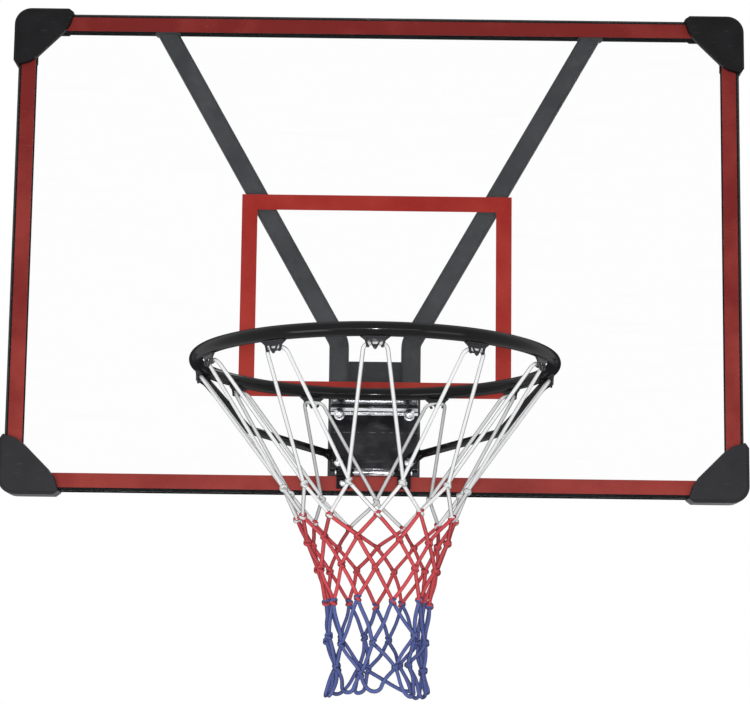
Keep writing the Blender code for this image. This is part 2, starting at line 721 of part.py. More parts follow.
def make_bracket():
    """Folded sheet: a flange on top of the ring, a stepped face, and a tongue rolled round the pin."""
    lower_y = (BRACKET_FRONT + BRACKET_REAR) / 2
    upper_y = lower_y - JOGGLE
    flange_front = RING_Y + RING_RADIUS - FLANGE_PAST_ROD
    middle = [(flange_front, FLANGE_Z), (upper_y, FLANGE_Z), (upper_y, JOGGLE_TOP),
              (lower_y, JOGGLE_TOP - JOGGLE), (lower_y, BRACKET_BOTTOM)]
    middle = rounded(middle, [0, BRACKET_FOLD_RADIUS, JOGGLE_RADIUS, JOGGLE_RADIUS, 0], 3, False)
    bracket = flat("bracket", [strip(middle, BRACKET_SHEET)], BRACKET_WIDTH, ring_black(), "YZ")
    fold = upper_y - BRACKET_FOLD_RADIUS
    past = flange_front - SHEET_OVERRUN
    for _, side in SIDES:
        full = side * BRACKET_WIDTH / 2
        narrow = full - side * FLANGE_TAPER
        wide = full + side * SHEET_OVERRUN
        corner = [(full, fold), (narrow, flange_front), (narrow, past), (wide, past), (wide, fold)]
        taper = flat("flange_side_cut", [corner], 4 * BRACKET_SHEET, ring_black(), "XY", (0, 0, FLANGE_Z))
        cut(bracket, taper)
        for z, clearance in ((SPRING_BOLT_Z, TILT_CLEARANCE), (STRUT_BOLT_Z, HOLE_CLEARANCE)):
            radius = BOLT / 2 + clearance
            hole = cylinder("bracket_drill", radius, (side * BOLT_X, BRACKET_REAR + 2 * BRACKET_SHEET, z),
                            (side * BOLT_X, BRACKET_FRONT - JOGGLE - BRACKET_SHEET, z), ring_black())
            cut(bracket, hole)
    half = HINGE_TONGUE_WIDTH / 2
    tongue = box("bracket_tongue", (-half, BRACKET_FRONT, HINGE_Z),
                 (half, BRACKET_REAR, BRACKET_BOTTOM + BRACKET_SHEET), ring_black())
    barrel = cylinder("bracket_barrel", HINGE_BARREL / 2, (-half, HINGE_Y, HINGE_Z), (half, HINGE_Y, HINGE_Z),
                      ring_black())
    join(bracket, tongue)
    join(bracket, barrel)
    bore = cylinder("bracket_bore", HINGE_BORE / 2, (-half - SHEET_OVERRUN, HINGE_Y, HINGE_Z),
                    (half + SHEET_OVERRUN, HINGE_Y, HINGE_Z), ring_black())
    cut(bracket, bore)


def make_hinge_pin():
    """Pin with a head on each end, just outside the fixed knuckles."""
    seat = LEG_OUTER_X + FIT
    end = seat + PIN_HEAD_THICKNESS
    inside = (seat + end) / 2
    pin = cylinder("hinge_pin", HINGE_PIN / 2, (-inside, HINGE_Y, HINGE_Z),
                   (inside, HINGE_Y, HINGE_Z), zinc())
    for name, side in SIDES:
        head = cylinder("pin_head_" + name, PIN_HEAD / 2, (side * seat, HINGE_Y, HINGE_Z),
                        (side * end, HINGE_Y, HINGE_Z), zinc())
        join(pin, head)


# Fasteners

def bolt(name, x, z, seat, tip, diameter):
    """Dome-headed bolt: the head's flat rear face at y = seat, the shank's end at y = tip."""
    head = diameter * HEAD_TO_BOLT / 2
    height = diameter * HEAD_HEIGHT_TO_BOLT
    dome = [(head * math.sin(turn), height * math.cos(turn)) for turn in HEAD_DOME_TURNS]
    profile = dome + [(head, HEAD_RIM * height), (head, 0), (diameter / 2, 0),
                      (diameter / 2, seat - tip), (0, seat - tip)]
    return smooth(turned(name, profile, zinc(), (x, seat, z)))


def nut_height(diameter):
    return diameter * NUT_HEIGHT_TO_BOLT


def nut(name, x, z, seat, diameter):
    """Hexagon nut on the rear: its front face at y = seat."""
    across = diameter * NUT_TO_BOLT
    corner = across / math.sqrt(3)
    height = nut_height(diameter)
    outlines = [circle(x, z, corner, 6), circle(x, z, diameter / 2 + FIT)]
    return flat(name, outlines, height, zinc(), at=(0, seat + height / 2, 0))


def make_bolted_pair(kind, x, z, head_seat, nut_seat, diameter):
    """A bolt from the front and its nut at the rear, on each side."""
    for name, side in SIDES:
        tip = nut_seat + nut_height(diameter) + THREAD_PAST_NUT
        bolt(f"{kind}_bolt_{name}", side * x, z, head_seat, tip, diameter)
        nut(f"{kind}_nut_{name}", side * x, z, nut_seat, diameter)


def make_bolts():
    make_bolted_pair("spring", BOLT_X, SPRING_BOLT_Z, SPRING_FRONT - FIT, FIT, BOLT)
    make_bolted_pair("base", BOLT_X, BASE_BOLT_Z, BASE_FRONT - FIT, FIT, SMALL_BOLT)
    make_bolted_pair("leg", LEG_BOLT_X, LEG_BOLT_Z, BASE_FRONT - FIT, FRAME_REAR + FIT, SMALL_BOLT)


def make_spring_washer(name, side):
    outlines = [circle(side * BOLT_X, SPRING_BOLT_Z, WASHER_DIAMETER / 2, 24),
                circle(side * BOLT_X, SPRING_BOLT_Z, BOLT / 2 + WASHER_CLEARANCE)]
    flat(name, outlines, WASHER_THICKNESS, zinc(), at=(0, (WASHER_FRONT + WASHER_REAR) / 2, 0))


def make_spring(name, side):
    """One unbroken coil between the washer and the bolt's head."""
    start = WASHER_FRONT - FIT - SPRING_WIRE / 2
    end = SPRING_FRONT + SPRING_WIRE / 2
    steps = 10 * SPRING_TURNS
    radius = SPRING_MEAN_DIAMETER / 2
    points = []
    for i in range(steps + 1):
        turn = 2 * math.pi * SPRING_TURNS * i / steps
        points.append((side * BOLT_X + radius * math.cos(turn), start + (end - start) * i / steps,
                       SPRING_BOLT_Z + radius * math.sin(turn)))
    apart = min((Vector(points[i]) - Vector(points[j])).length
                for i in range(steps + 1) for j in range(i + 6, steps + 1))
    print(f"{name}: least gap to itself {(apart - SPRING_WIRE) / MM:.2f} mm")
    rod(name, points, SPRING_WIRE, zinc(), 1)


def make_strut_bolt(name, side):
    """Bolt through the strut's tab and the bracket, into a thin clinch nut behind the bracket."""
    x = side * BOLT_X
    seat = BRACKET_FRONT - FIT - STRUT_TAB - FIT + STRUT_FACING
    nut_front = BRACKET_REAR + FIT
    bolt("strut_bolt_" + name, x, STRUT_BOLT_Z, seat, nut_front + CLINCH_NUT_THICKNESS, BOLT)
    outlines = [circle(x, STRUT_BOLT_Z, CLINCH_NUT_DIAMETER / 2), circle(x, STRUT_BOLT_Z, BOLT / 2 + FIT)]
    flat("strut_nut_" + name, outlines, CLINCH_NUT_THICKNESS, zinc(),
         at=(0, nut_front + CLINCH_NUT_THICKNESS / 2, 0))


# Ring, struts and hooks

def ring_point(angle, radius, z):
    """Point at this angle from the front of the ring, positive to the right."""
    turn = math.radians(angle)
    return Vector((radius * math.sin(turn), RING_Y - radius * math.cos(turn), z))


def make_ring():
    bpy.ops.mesh.primitive_torus_add(major_segments=66, minor_segments=10, major_radius=RING_RADIUS,
                                     minor_radius=RING_ROD / 2, location=(0, RING_Y, 0))
    ring = bpy.context.object
    ring.name = "ring"
    return smooth(finish(ring, ring_black()), 60)


def make_strut(name, side):
    """Round rod from under the ring to the bracket, its end flattened into a bolted tab."""
    start = ring_point(side * STRUT_RING_ANGLE, RING_RADIUS, -RING_ROD / 2 - FIT - STRUT_ROD / 2)
    tab_rear = BRACKET_FRONT - FIT
    tab_front = tab_rear - STRUT_TAB
    bend = (side * (RING_RADIUS - STRUT_BEND_INSIDE_RING), PANEL_FRONT - STRUT_BEND_OUT, -STRUT_BEND_DROP)
    end = (side * (BOLT_X + STRUT_END_PAST_BOLT), BRACKET_FRONT - STRUT_END_DEPTH,
           STRUT_BOLT_Z + STRUT_END_ABOVE_BOLT)
    lead = start + Vector((side * STRUT_LEAD_OUT, -STRUT_LEAD, 0))
    points = rounded([tuple(lead), tuple(start), bend, end],
                     [0, STRUT_LEAD_RADIUS, STRUT_BEND_RADIUS, 0], 5, False)
    strut = rod(name, points, STRUT_ROD, ring_black(), 3)
    half = STRUT_TAB_WIDTH / 2
    x, z = side * BOLT_X, STRUT_BOLT_Z
    reach = x + side * STRUT_TAB_PAST_BOLT
    round_end, square_end = STRUT_TAB_RADII
    outline = rounded([(x - side * half, z - half), (reach, z - half + STRUT_TAB_TAPER), (reach, z + half),
                       (x - side * half, z + half)], [round_end, square_end, square_end, round_end], 4)
    tab = flat(name + "_tab", [outline], STRUT_TAB, ring_black(), at=(0, (tab_front + tab_rear) / 2, 0))
    join(strut, tab)
    room = box(name + "_head_room", (x - half, tab_front - 2 * STRUT_ROD, z - half),
               (x + half, tab_front + STRUT_FACING, z + half), ring_black())
    drill(strut, x, z, BOLT / 2 + HOLE_CLEARANCE)
    cut(strut, room)


def hook_angle(index):
    return HOOK_STEP * (index - (HOOK_COUNT - 1) / 2)


def make_hook(index):
    """Pressed steel net hook: a plate under the ring with two legs and a pointed tab between them."""
    name = f"hook_{index + 1:02d}"
    angle = hook_angle(index)
    half = HOOK_TOP_WIDTH / 2
    outer, inner = HOOK_LEG_TAPER
    right = [(half, 0), (HOOK_LEG_X + outer, -HOOK_LEG_DROP),
             (HOOK_LEG_X - inner, -HOOK_LEG_DROP - HOOK_STAGGER),
             (HOOK_TAB_X + HOOK_SLOT, -HOOK_SLOT_TOP), (HOOK_TAB_X, -HOOK_SLOT_TOP - HOOK_STAGGER)]
    outline = right + [(0, -HOOK_TAB_DROP)] + [(-u, v) for u, v in right[::-1]]
    eye = [(side * u, -v) for side, (u, v) in
           ((-1, HOOK_EYE_TOP), (1, HOOK_EYE_TOP), (1, HOOK_EYE_BOTTOM), (-1, HOOK_EYE_BOTTOM))]
    hook = flat(name, [outline, eye], HOOK_SHEET, ring_black(), at=ring_point(angle, RING_RADIUS, HOOK_TOP))
    hook.rotation_euler = (math.pi / 2, 0, math.radians(angle))
    width, thickness = HOOK_SHELF
    reach = HOOK_SHEET / 2 + FIT + CORD
    shelf = box(name + "_shelf", (-width / 2, -reach / 2, -thickness / 2),
                (width / 2, reach / 2, thickness / 2), ring_black())
    shelf.location = ring_point(angle, RING_RADIUS - reach / 2, HOOK_SEAT - thickness / 2)
    shelf.rotation_euler = (0, 0, math.radians(angle))
    join(hook, shelf)


# Net

def net_angle(position, row):
    """Angle of a knot: under the hooks at the top, evenly round the net further down."""
    half = HOOK_COUNT / 2
    even = 360 / HOOK_COUNT * position
    hooks = HOOK_STEP * position
    if abs(position) > half - 0.25:
        hooks = math.copysign(180, position) + HOOK_STEP * (position - math.copysign(half, position))
    share = min(row / 4, 1)
    return hooks + (even - hooks) * share


def net_knot(row, position, shift):
    """Centre of the cord at a knot, moved up or down to where this cord passes the other one."""
    depth, radius = NET_ROWS[row - 1]
    return ring_point(net_angle(position, row), radius, -depth + shift)


def zigzag(upper_row, top_shift, bottom_shift):
    """Closed cord that runs down and up between two rows of knots, once round the net."""
    first = -(HOOK_COUNT - 1) / 2 - (0.5 if upper_row % 2 else 0)
    points = []
    for i in range(HOOK_COUNT):
        position = first + i
        points.append(net_knot(upper_row, position, -top_shift))
        points.append(net_knot(upper_row + 1, position + 0.5, bottom_shift))
    return points


def bight(index):
    """Cord from one knot of the top row up over a hook and down to the next knot."""
    centre = index - (HOOK_COUNT - 1) / 2
    angle = hook_angle(index)
    spread = math.degrees(BIGHT_HALF_WIDTH / BIGHT_RADIUS)
    knots = [net_knot(1, centre + side * (0.5 + KNOT_OVERRUN), CROSSING) for side in (-1, 1)]
    tops = [ring_point(angle + side * spread, BIGHT_RADIUS, BIGHT_Z) for side in (-1, 1)]
    return rounded([tuple(knots[0]), tuple(tops[0]), tuple(tops[1]), tuple(knots[1])],
                   BIGHT_RADIUS_OF_BEND, 3, False)


def net_section(name, shapes, look):
    """One colour of the net: the cords fused where they cross at the knots."""
    pieces = [rod(f"{name}_{i}", points, CORD, look, 1, closed) for i, (points, closed) in enumerate(shapes)]
    whole = pieces[0]
    for piece in pieces[1:]:
        combine(whole, piece, "UNION", "MANIFOLD")
    whole.name = name
    return whole


def make_net():
    last = len(NET_ROWS)
    white = [(zigzag(1, CROSSING, APART), True)]
    white += [(bight(index), False) for index in range(HOOK_COUNT)]
    red = []
    for row in range(WHITE_TO_RED_ROW, RED_TO_BLUE_ROW):
        top = APART if row == WHITE_TO_RED_ROW else CROSSING
        bottom = APART if row + 1 == RED_TO_BLUE_ROW else CROSSING
        red.append((zigzag(row, top, bottom), True))
    blue = []
    for row in range(RED_TO_BLUE_ROW, last):
        top = APART if row == RED_TO_BLUE_ROW else CROSSING
        blue.append((zigzag(row, top, CROSSING), True))
    net_section("net_white", white, cord_white())
    net_section("net_red", red, cord_red())
    net_section("net_blue", blue, cord_blue())


# Assembly

def make_board_body():
    make_panel()
    make_border_line()
    make_target_square()
    make_long_rails()
    make_side_rails()
    make_rear_plate()
    for name, side in SIDES:
        make_brace("brace_" + name, side)
        for edge, up in (("top", 1), ("bottom", -1)):
            make_corner_pad(f"corner_pad_{edge}_{name}", side, up)
    make_base_plate()
    make_hinge_pin()
    make_bolts()
    for name, side in SIDES:
        make_spring("spring_" + name, side)


def make_rim_body():
    """Everything that tilts with the ring, hung on an empty on the hinge's axis."""
    before = set(parts.objects)
    make_ring()
    make_bracket()
    for name, side in SIDES:
        make_strut("strut_" + name, side)
        make_strut_bolt(name, side)
        make_spring_washer("spring_washer_" + name, side)
    for index in range(HOOK_COUNT):
        make_hook(index)
    make_net()
    pivot = bpy.data.objects.new("rim_pivot", None)
    pivot.location = (0, HINGE_Y, HINGE_Z)
    parts.objects.link(pivot)
    bpy.context.view_layer.update()
    for obj in set(parts.objects) - before - {pivot}:
        obj.parent = pivot
        obj.matrix_parent_inverse = pivot.matrix_world.inverted()


clear_scene()
parts = new_collection("basketball_goal")
cutters = new_collection("cutters")
make_board_body()
make_rim_body()
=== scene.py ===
"""Basketball goal: the looks of the board, the sprung ring and the net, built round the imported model.

Metres. X to the right, Y to the rear, Z up. The board faces -Y and the ring lies level with the origin.
"""
import math

import bmesh
import bpy
import numpy as np
from mathutils import Matrix, Vector


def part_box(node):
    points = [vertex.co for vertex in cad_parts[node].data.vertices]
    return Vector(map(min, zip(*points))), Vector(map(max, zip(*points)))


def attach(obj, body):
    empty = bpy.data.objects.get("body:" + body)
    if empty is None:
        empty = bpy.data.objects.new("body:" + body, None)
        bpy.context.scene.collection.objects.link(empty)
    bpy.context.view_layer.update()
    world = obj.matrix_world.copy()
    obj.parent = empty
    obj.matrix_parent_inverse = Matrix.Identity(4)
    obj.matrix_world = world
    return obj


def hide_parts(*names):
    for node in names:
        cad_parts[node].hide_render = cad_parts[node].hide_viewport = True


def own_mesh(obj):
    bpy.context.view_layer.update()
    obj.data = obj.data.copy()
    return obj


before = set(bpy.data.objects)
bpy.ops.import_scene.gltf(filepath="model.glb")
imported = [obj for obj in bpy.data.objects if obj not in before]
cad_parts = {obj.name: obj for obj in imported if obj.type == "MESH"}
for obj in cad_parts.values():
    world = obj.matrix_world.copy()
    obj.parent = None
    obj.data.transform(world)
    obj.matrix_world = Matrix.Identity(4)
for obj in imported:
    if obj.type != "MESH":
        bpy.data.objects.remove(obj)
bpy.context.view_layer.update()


# Camera
# A long lens stands a little under the ring and looks up at it, as in the photograph. Part of the framing is
# lens shift, which keeps the sides of the board nearly parallel.

CAMERA_PLACE = (0.0, -2.7493, -0.435)
CAMERA_PITCH = 7.126               # degrees up
CAMERA_YAW = 0.095
CAMERA_ROLL = 0.736
LENS = 87.07
LENS_SHIFT = (0.0059, 0.16)


def in_scene(name, data):
    """An object of the scene that holds this camera, lamp or mesh."""
    obj = bpy.data.objects.new(name, data)
    bpy.context.scene.collection.objects.link(obj)
    return obj


camera = in_scene("camera", bpy.data.cameras.new("camera"))
camera.matrix_world = (Matrix.Translation(CAMERA_PLACE)
                       @ Matrix.Rotation(math.radians(CAMERA_YAW), 4, "Z")
                       @ Matrix.Rotation(math.radians(90 + CAMERA_PITCH), 4, "X")
                       @ Matrix.Rotation(math.radians(CAMERA_ROLL), 4, "Z"))
camera.data.lens = LENS
camera.data.shift_x, camera.data.shift_y = LENS_SHIFT
bpy.context.scene.camera = camera
bpy.context.scene.view_settings.view_transform = "Standard"


# Light and floor
# A white room with soft boxes low in front and one behind, a long narrow one that draws the bright line on
# the round rods, and a small one by the camera that glints on the bolts. The floor is a pale disc that fades
# into the white, and it can't be seen from below.

LAMPS = (                          # place, what it points at, width and height, watts
    ((-1.5, -2.2, -1.0), (-0.1, -0.1, -0.25), (1.0, 1.0), 15),
    ((1.6, -2.2, -0.9), (0.1, -0.1, -0.25), (1.0, 1.0), 8),
    ((0.0, -2.9, -0.45), (0.0, -0.3, 0.0), (2.4, 0.05), 9),
    ((0.0, -2.85, -0.42), (0.0, -0.3, -0.1), (0.12, 0.12), 22),
    ((0.9, 2.6, 1.6), (0.0, 0.0, 0.1), (1.4, 1.4), 34),
)
ROOM_LIGHT = 0.36                  # what the white room gives to matt surfaces
FLOOR_HEIGHT = -0.74
FLOOR_RADIUS = 5.0
FLOOR_GRID = (24, 96)              # rings and spokes
FLOOR_FADE = (0.9, 3.0)            # where the disc starts and ends fading, from its middle
FLOOR_SHARE = 0.55                 # how much of the disc shows over the white
FLOOR_COLOUR = (0.90, 0.90, 0.905, 1)


class Wire:
    """An output socket of a node tree. Arithmetic on wires adds Math nodes; `node` adds any other node."""

    def __init__(self, tree, socket=None):
        self.tree = tree
        self.socket = socket

    def node(self, kind, settings=None, sockets=None, output=0):
        """Adds a node: first its settings, then the values or wires of its sockets. Returns one output."""
        made = self.tree.nodes.new("ShaderNode" + kind)
        for name, value in (settings or {}).items():
            setattr(made, name, value)
        for name, value in (sockets or {}).items():
            if isinstance(value, Wire):
                self.tree.links.new(value.socket, made.inputs[name])
            else:
                made.inputs[name].default_value = value
        return Wire(self.tree, made.outputs[output])

    def math(self, operation, *others):
        return self.node("Math", {"operation": operation}, dict(enumerate((self, *others))))

    def __add__(self, other):
        return self.math("ADD", other)

    def __sub__(self, other):
        return self.math("SUBTRACT", other)

    def __rsub__(self, other):
        return self.node("Math", {"operation": "SUBTRACT"}, {0: other, 1: self})

    def __mul__(self, other):
        return self.math("MULTIPLY", other)

    def __truediv__(self, other):
        return self.math("DIVIDE", other)

    def __pow__(self, other):
        return self.math("POWER", other)

    __radd__ = __add__
    __rmul__ = __mul__

    def clamped(self):
        return self.math("MAXIMUM", 0.0).math("MINIMUM", 1.0)

    def between(self, low, high):
        """0 at `low` and past it, 1 at `high` and past it, straight in between."""
        return ((self - low) / (high - low)).clamped()

    def tint(self, low, high):
        """Colour that runs from `low` at 0 to `high` at 1."""
        return self.node("Mix", {"data_type": "RGBA"}, {0: self, 6: low, 7: high}, 2)

    def axis(self, name):
        """One coordinate of a point."""
        return self.node("SeparateXYZ", sockets={0: self}, output=name)

    def noise(self, scale, detail):
        """Clouds about 0.5 over these coordinates: `scale` to the metre, finer mixed in with more detail."""
        return self.node("TexNoise", sockets={"Vector": self, "Scale": scale, "Detail": detail})

    def stretched(self, scale, lean=0.0):
        """These coordinates, each multiplied and then leant about Y, which draws clouds out into streaks."""
        return self.node("Mapping", sockets={0: self, "Scale": scale, "Rotation": (0, lean, 0)})

    def slant(self):
        """0 where the surface is seen face on, 1 where it is seen edge on."""
        return self.node("LayerWeight", sockets={"Blend": 0.5}, output="Facing")

    def raises(self, shader, strength, depth):
        """The surface stands higher where this wire is high."""
        raised = self.node("Bump", sockets={"Height": self, "Strength": strength, "Distance": depth})
        raised.to(shader, "Normal")

    def to(self, node, name):
        self.tree.links.new(self.socket, node.inputs[name])


def new_look(name, roughness=0.5, metallic=0.0, specular=0.5, sheen=0.0):
    """A Principled material with its constants set: (material, shader, coordinates)."""
    look = bpy.data.materials.new(name)
    look.use_nodes = True
    shader = look.node_tree.nodes["Principled BSDF"]
    shader.inputs["Roughness"].default_value = roughness
    shader.inputs["Metallic"].default_value = metallic
    shader.inputs["Specular IOR Level"].default_value = specular
    shader.inputs["Sheen Weight"].default_value = sheen
    return look, shader, Wire(look.node_tree).node("TexCoord", output="Object")


def light_room():
    """White to the eye, in metal and through the clear panel; dimmer to matt surfaces."""
    room = bpy.data.worlds.new("room")
    room.use_nodes = True
    bpy.context.scene.world = room
    start = Wire(room.node_tree)
    seen = start.node("LightPath", output="Is Camera Ray")
    for ray in ("Is Glossy Ray", "Is Transmission Ray"):
        seen = seen.math("MAXIMUM", start.node("LightPath", output=ray))
    background = room.node_tree.nodes["Background"]
    background.inputs["Color"].default_value = (1, 1, 1, 1)
    (ROOM_LIGHT + (1 - ROOM_LIGHT) * seen).to(background, "Strength")


def hang_lamp(index, place, target, size, watts):
    lamp = bpy.data.lights.new(f"soft_box_{index}", "AREA")
    lamp.shape = "RECTANGLE"
    lamp.size, lamp.size_y = size
    lamp.energy = watts
    box = in_scene(f"soft_box_{index}", lamp)
    box.location = place
    box.rotation_euler = (Vector(target) - Vector(place)).to_track_quat("-Z", "Y").to_euler()
    box.visible_camera = False


def mesh_of(name, grids, welded=True):
    """One mesh from grids of points. A grid is rows x columns x 3, closed round its columns, and its UV map
    is the row and the column as shares, or the values given with it. Points in one place are welded."""
    points, cells, corners_uv, first = [], [], [], 0
    for grid in grids:
        places, uv = grid if isinstance(grid, tuple) else (grid, None)
        rows, columns = places.shape[:2]
        if uv is None:
            shares = np.meshgrid(np.linspace(0, 1, rows), np.linspace(0, 1, columns + 1), indexing="ij")
            uv = np.stack(shares, -1)
        row = np.arange(rows - 1)[:, None]
        column = np.arange(columns)[None, :]
        after = (column + 1) % columns
        cell = np.stack([row * columns + column, row * columns + after,
                         (row + 1) * columns + after, (row + 1) * columns + column], -1)
        points.append(places.reshape(-1, 3))
        cells.append(first + cell.reshape(-1, 4))
        corners_uv.append(np.stack([uv[row, column], uv[row, column + 1],
                                    uv[row + 1, column + 1], uv[row + 1, column]], 2).reshape(-1, 2))
        first += rows * columns
    mesh = bpy.data.meshes.new(name)
    mesh.from_pydata(np.concatenate(points).tolist(), [], np.concatenate(cells).tolist())
    layer = mesh.uv_layers.new(name="along")
    layer.data.foreach_set("uv", np.concatenate(corners_uv).astype(np.float32).ravel())
    if welded:
        work = bmesh.new()
        work.from_mesh(mesh)
        bmesh.ops.remove_doubles(work, verts=work.verts, dist=1e-7)
        bmesh.ops.recalc_face_normals(work, faces=work.faces)
        work.to_mesh(mesh)
        work.free()
    return mesh


def disc(radius, height, rings, spokes):
    """Flat disc: points on circles whose radius grows evenly from nothing, clockwise, so that it faces up."""
    reach = np.linspace(0, radius, rings)[:, None]
    turn = np.linspace(0, -2 * math.pi, spokes, endpoint=False)[None, :]
    return np.stack([reach * np.cos(turn), reach * np.sin(turn), np.full((rings, spokes), height)], -1)


def floor_look():
    """Pale matt paint that the eye sees from above alone, mixed with the white room, more so further out."""
    look, shader, place = new_look("studio_floor", specular=0.0)
    shader.inputs["Base Color"].default_value = FLOOR_COLOUR
    away = place.node("VectorMath", {"operation": "LENGTH"}, {0: place}, "Value")
    from_below = place.node("NewGeometry", output="Backfacing")
    above = (1 - from_below) * place.node("LightPath", output="Is Camera Ray")
    (FLOOR_SHARE * (1 - away.between(*FLOOR_FADE)) * above).to(shader, "Alpha")
    return look


light_room()
for index, lamp in enumerate(LAMPS):
    hang_lamp(index, *lamp)
floor_mesh = mesh_of("studio_floor", [disc(FLOOR_RADIUS, FLOOR_HEIGHT, *FLOOR_GRID)], welded=False)
floor = in_scene("studio_floor", floor_mesh)
floor.data.materials.append(floor_look())


# Clear board
# One sheet of clear plastic, 4 mm thick, with round corners and sawn, polished edges. It lies on the frame's
# tubes and is held in the four corner pads.

MM = 0.001
PANEL_CORNER = 8 * MM
PANEL_POLISH = 0.5 * MM
CLEAR_TINT = (0.45, 0.50, 0.50, 1)
PAINTED_EDGE_REFLECTION = (0.012, 0.014, 0.014, 1)
EDGE_BAND = 2.2 * MM               # the cut edge shows this far in, as a painted reflection of the tubes
EDGE_SOFT = 0.2 * MM
LEAST_RADIUS = 0.2 * MM            # that an outline's corner keeps where its sides are drawn in


def clear_look(half_width, top):
    """Clear plastic: hardly there face on, a little more at a slant as a painted sheen, and dark along its
    top and sides, a painted reflection of the tubes in the cut edge."""
    look, shader, place = new_look("clear_panel", roughness=0.06)
    over_x = place.axis("X").math("ABSOLUTE") - half_width
    over_z = place.axis("Z") - top
    # painted reflection of the tubes in the cut edge, and a painted sheen where seen at a slant
    edge = over_x.math("MAXIMUM", over_z).between(-EDGE_BAND - EDGE_SOFT, -EDGE_BAND)
    slant = place.slant() ** 4
    smear = place.stretched((1.0, 1.0, 9.0), 0.5).noise(6.0, 6.0).between(0.55, 0.8)
    (0.012 + 0.012 * smear + 0.30 * slant + 0.9 * edge).clamped().to(shader, "Alpha")
    (0.05 + 0.12 * smear).to(shader, "Roughness")
    edge.tint(CLEAR_TINT, PAINTED_EDGE_REFLECTION).to(shader, "Base Color")
    return look


def arcs(corners, radii, steps, closed=True):
    """Points of an outline or a route, with each corner replaced by an arc of its radius. The arc's points
    lie on the circle that touches both sides, in equal turns."""
    corners = np.asarray(corners, float)
    radii = np.broadcast_to(radii, len(corners))
    out = []
    for i, (here, radius) in enumerate(zip(corners, radii)):
        if radius == 0 or (not closed and i in (0, len(corners) - 1)):
            out.append(here[None])
            continue
        back = corners[i - 1] - here
        ahead = corners[(i + 1) % len(corners)] - here
        back, ahead = back / np.linalg.norm(back), ahead / np.linalg.norm(ahead)
        half = math.acos(np.clip(back @ ahead, -1, 1)) / 2
        middle = back + ahead
        centre = here + middle / np.linalg.norm(middle) * radius / math.sin(half)
        first, last = (here + side * radius / math.tan(half) - centre for side in (back, ahead))
        share = np.linspace(0, 1, steps + 1)[:, None]
        sweep = math.pi - 2 * half
        swung = first * np.sin((1 - share) * sweep) + last * np.sin(share * sweep)
        out.append(centre + swung / math.sin(sweep))
    return np.concatenate(out)


def inset(corners, radii, depth, steps):
    """Outline with its sides drawn in by `depth`, one for all or one a side: each corner goes where its two
    sides then meet, and its arc shrinks by the lesser of their depths."""
    corners = np.asarray(corners, float)
    depth = np.broadcast_to(depth, len(corners))
    ahead = np.roll(corners, -1, 0) - corners
    ahead /= np.linalg.norm(ahead, axis=1)[:, None]
    inward = np.stack([-ahead[:, 1], ahead[:, 0]], -1)
    before, depth_before = np.roll(inward, 1, 0), np.roll(depth, 1)
    along = (inward * before).sum(1)
    move = ((depth_before - along * depth)[:, None] * before
            + (depth - along * depth_before)[:, None] * inward) / (1 - along ** 2)[:, None]
    return arcs(corners + move, np.maximum(radii - np.minimum(depth, depth_before), LEAST_RADIUS), steps)


def plate(corners, radii, layers, steps):
    """Closed plate facing -Y: the outline carried through layers of (inset, y), and drawn to its middle at
    both ends. The corners run anticlockwise seen from the front."""
    rows = [inset(corners, radii, depth, steps) for depth, _ in layers]
    middle = np.broadcast_to(rows[0].mean(0), rows[0].shape)
    rows = [middle, *rows, middle]
    levels = [layers[0][1], *(y for _, y in layers), layers[-1][1]]
    return np.stack([np.insert(row, 1, y, axis=1) for row, y in zip(rows, levels)])


def rectangle(low, high):
    """Corners of a rectangle, anticlockwise seen from the front."""
    return [(low[0], low[1]), (high[0], low[1]), (high[0], high[1]), (low[0], high[1])]


def piece(name, mesh, look, body, slot, *replaced, smooth=38):
    """Object from a mesh, with its material, its body and the nodes that it stands for; `slot` is not
    used. Its faces are smooth where they meet at less than `smooth` degrees."""
    obj = in_scene(name, mesh)
    obj.data.materials.append(look)
    obj.data.shade_smooth()
    obj.data.set_sharp_from_angle(angle=math.radians(smooth))
    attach(obj, body)
    if replaced:
        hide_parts(*replaced)
    return obj


panel_low, panel_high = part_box("backboard_panel")
sheet = plate(rectangle(panel_low.xz, panel_high.xz), PANEL_CORNER,
              [(PANEL_POLISH, panel_low.y), (0, panel_low.y + PANEL_POLISH),
               (0, panel_high.y - PANEL_POLISH), (PANEL_POLISH, panel_high.y)], 8)
piece("clear_board", mesh_of("clear_board", [sheet]), clear_look(panel_high.x, panel_high.z),
      "board", "clear_panel", "backboard_panel", smooth=20)


# Printed lines
# Screen-printed red lines on the board's face: a border and the shooter's square. The ink is thick, a little
# uneven, and lighter along rubbed scratches, partly a painted glint. Painted light makes it paler lower down.

BORDER_INK = ((0.215, 0.023, 0.021, 1), (0.360, 0.052, 0.043, 1))
TARGET_INK = ((0.355, 0.026, 0.021, 1), (0.450, 0.050, 0.038, 1))
RUB_AND_GLINT_TONE = (0.50, 0.15, 0.13, 1)
PAINTED_LIGHT_RATE = 1.2                     # how much paler the painted light makes it for each metre
PAINTED_LIGHT_BELOW = 0.25              # from this height down


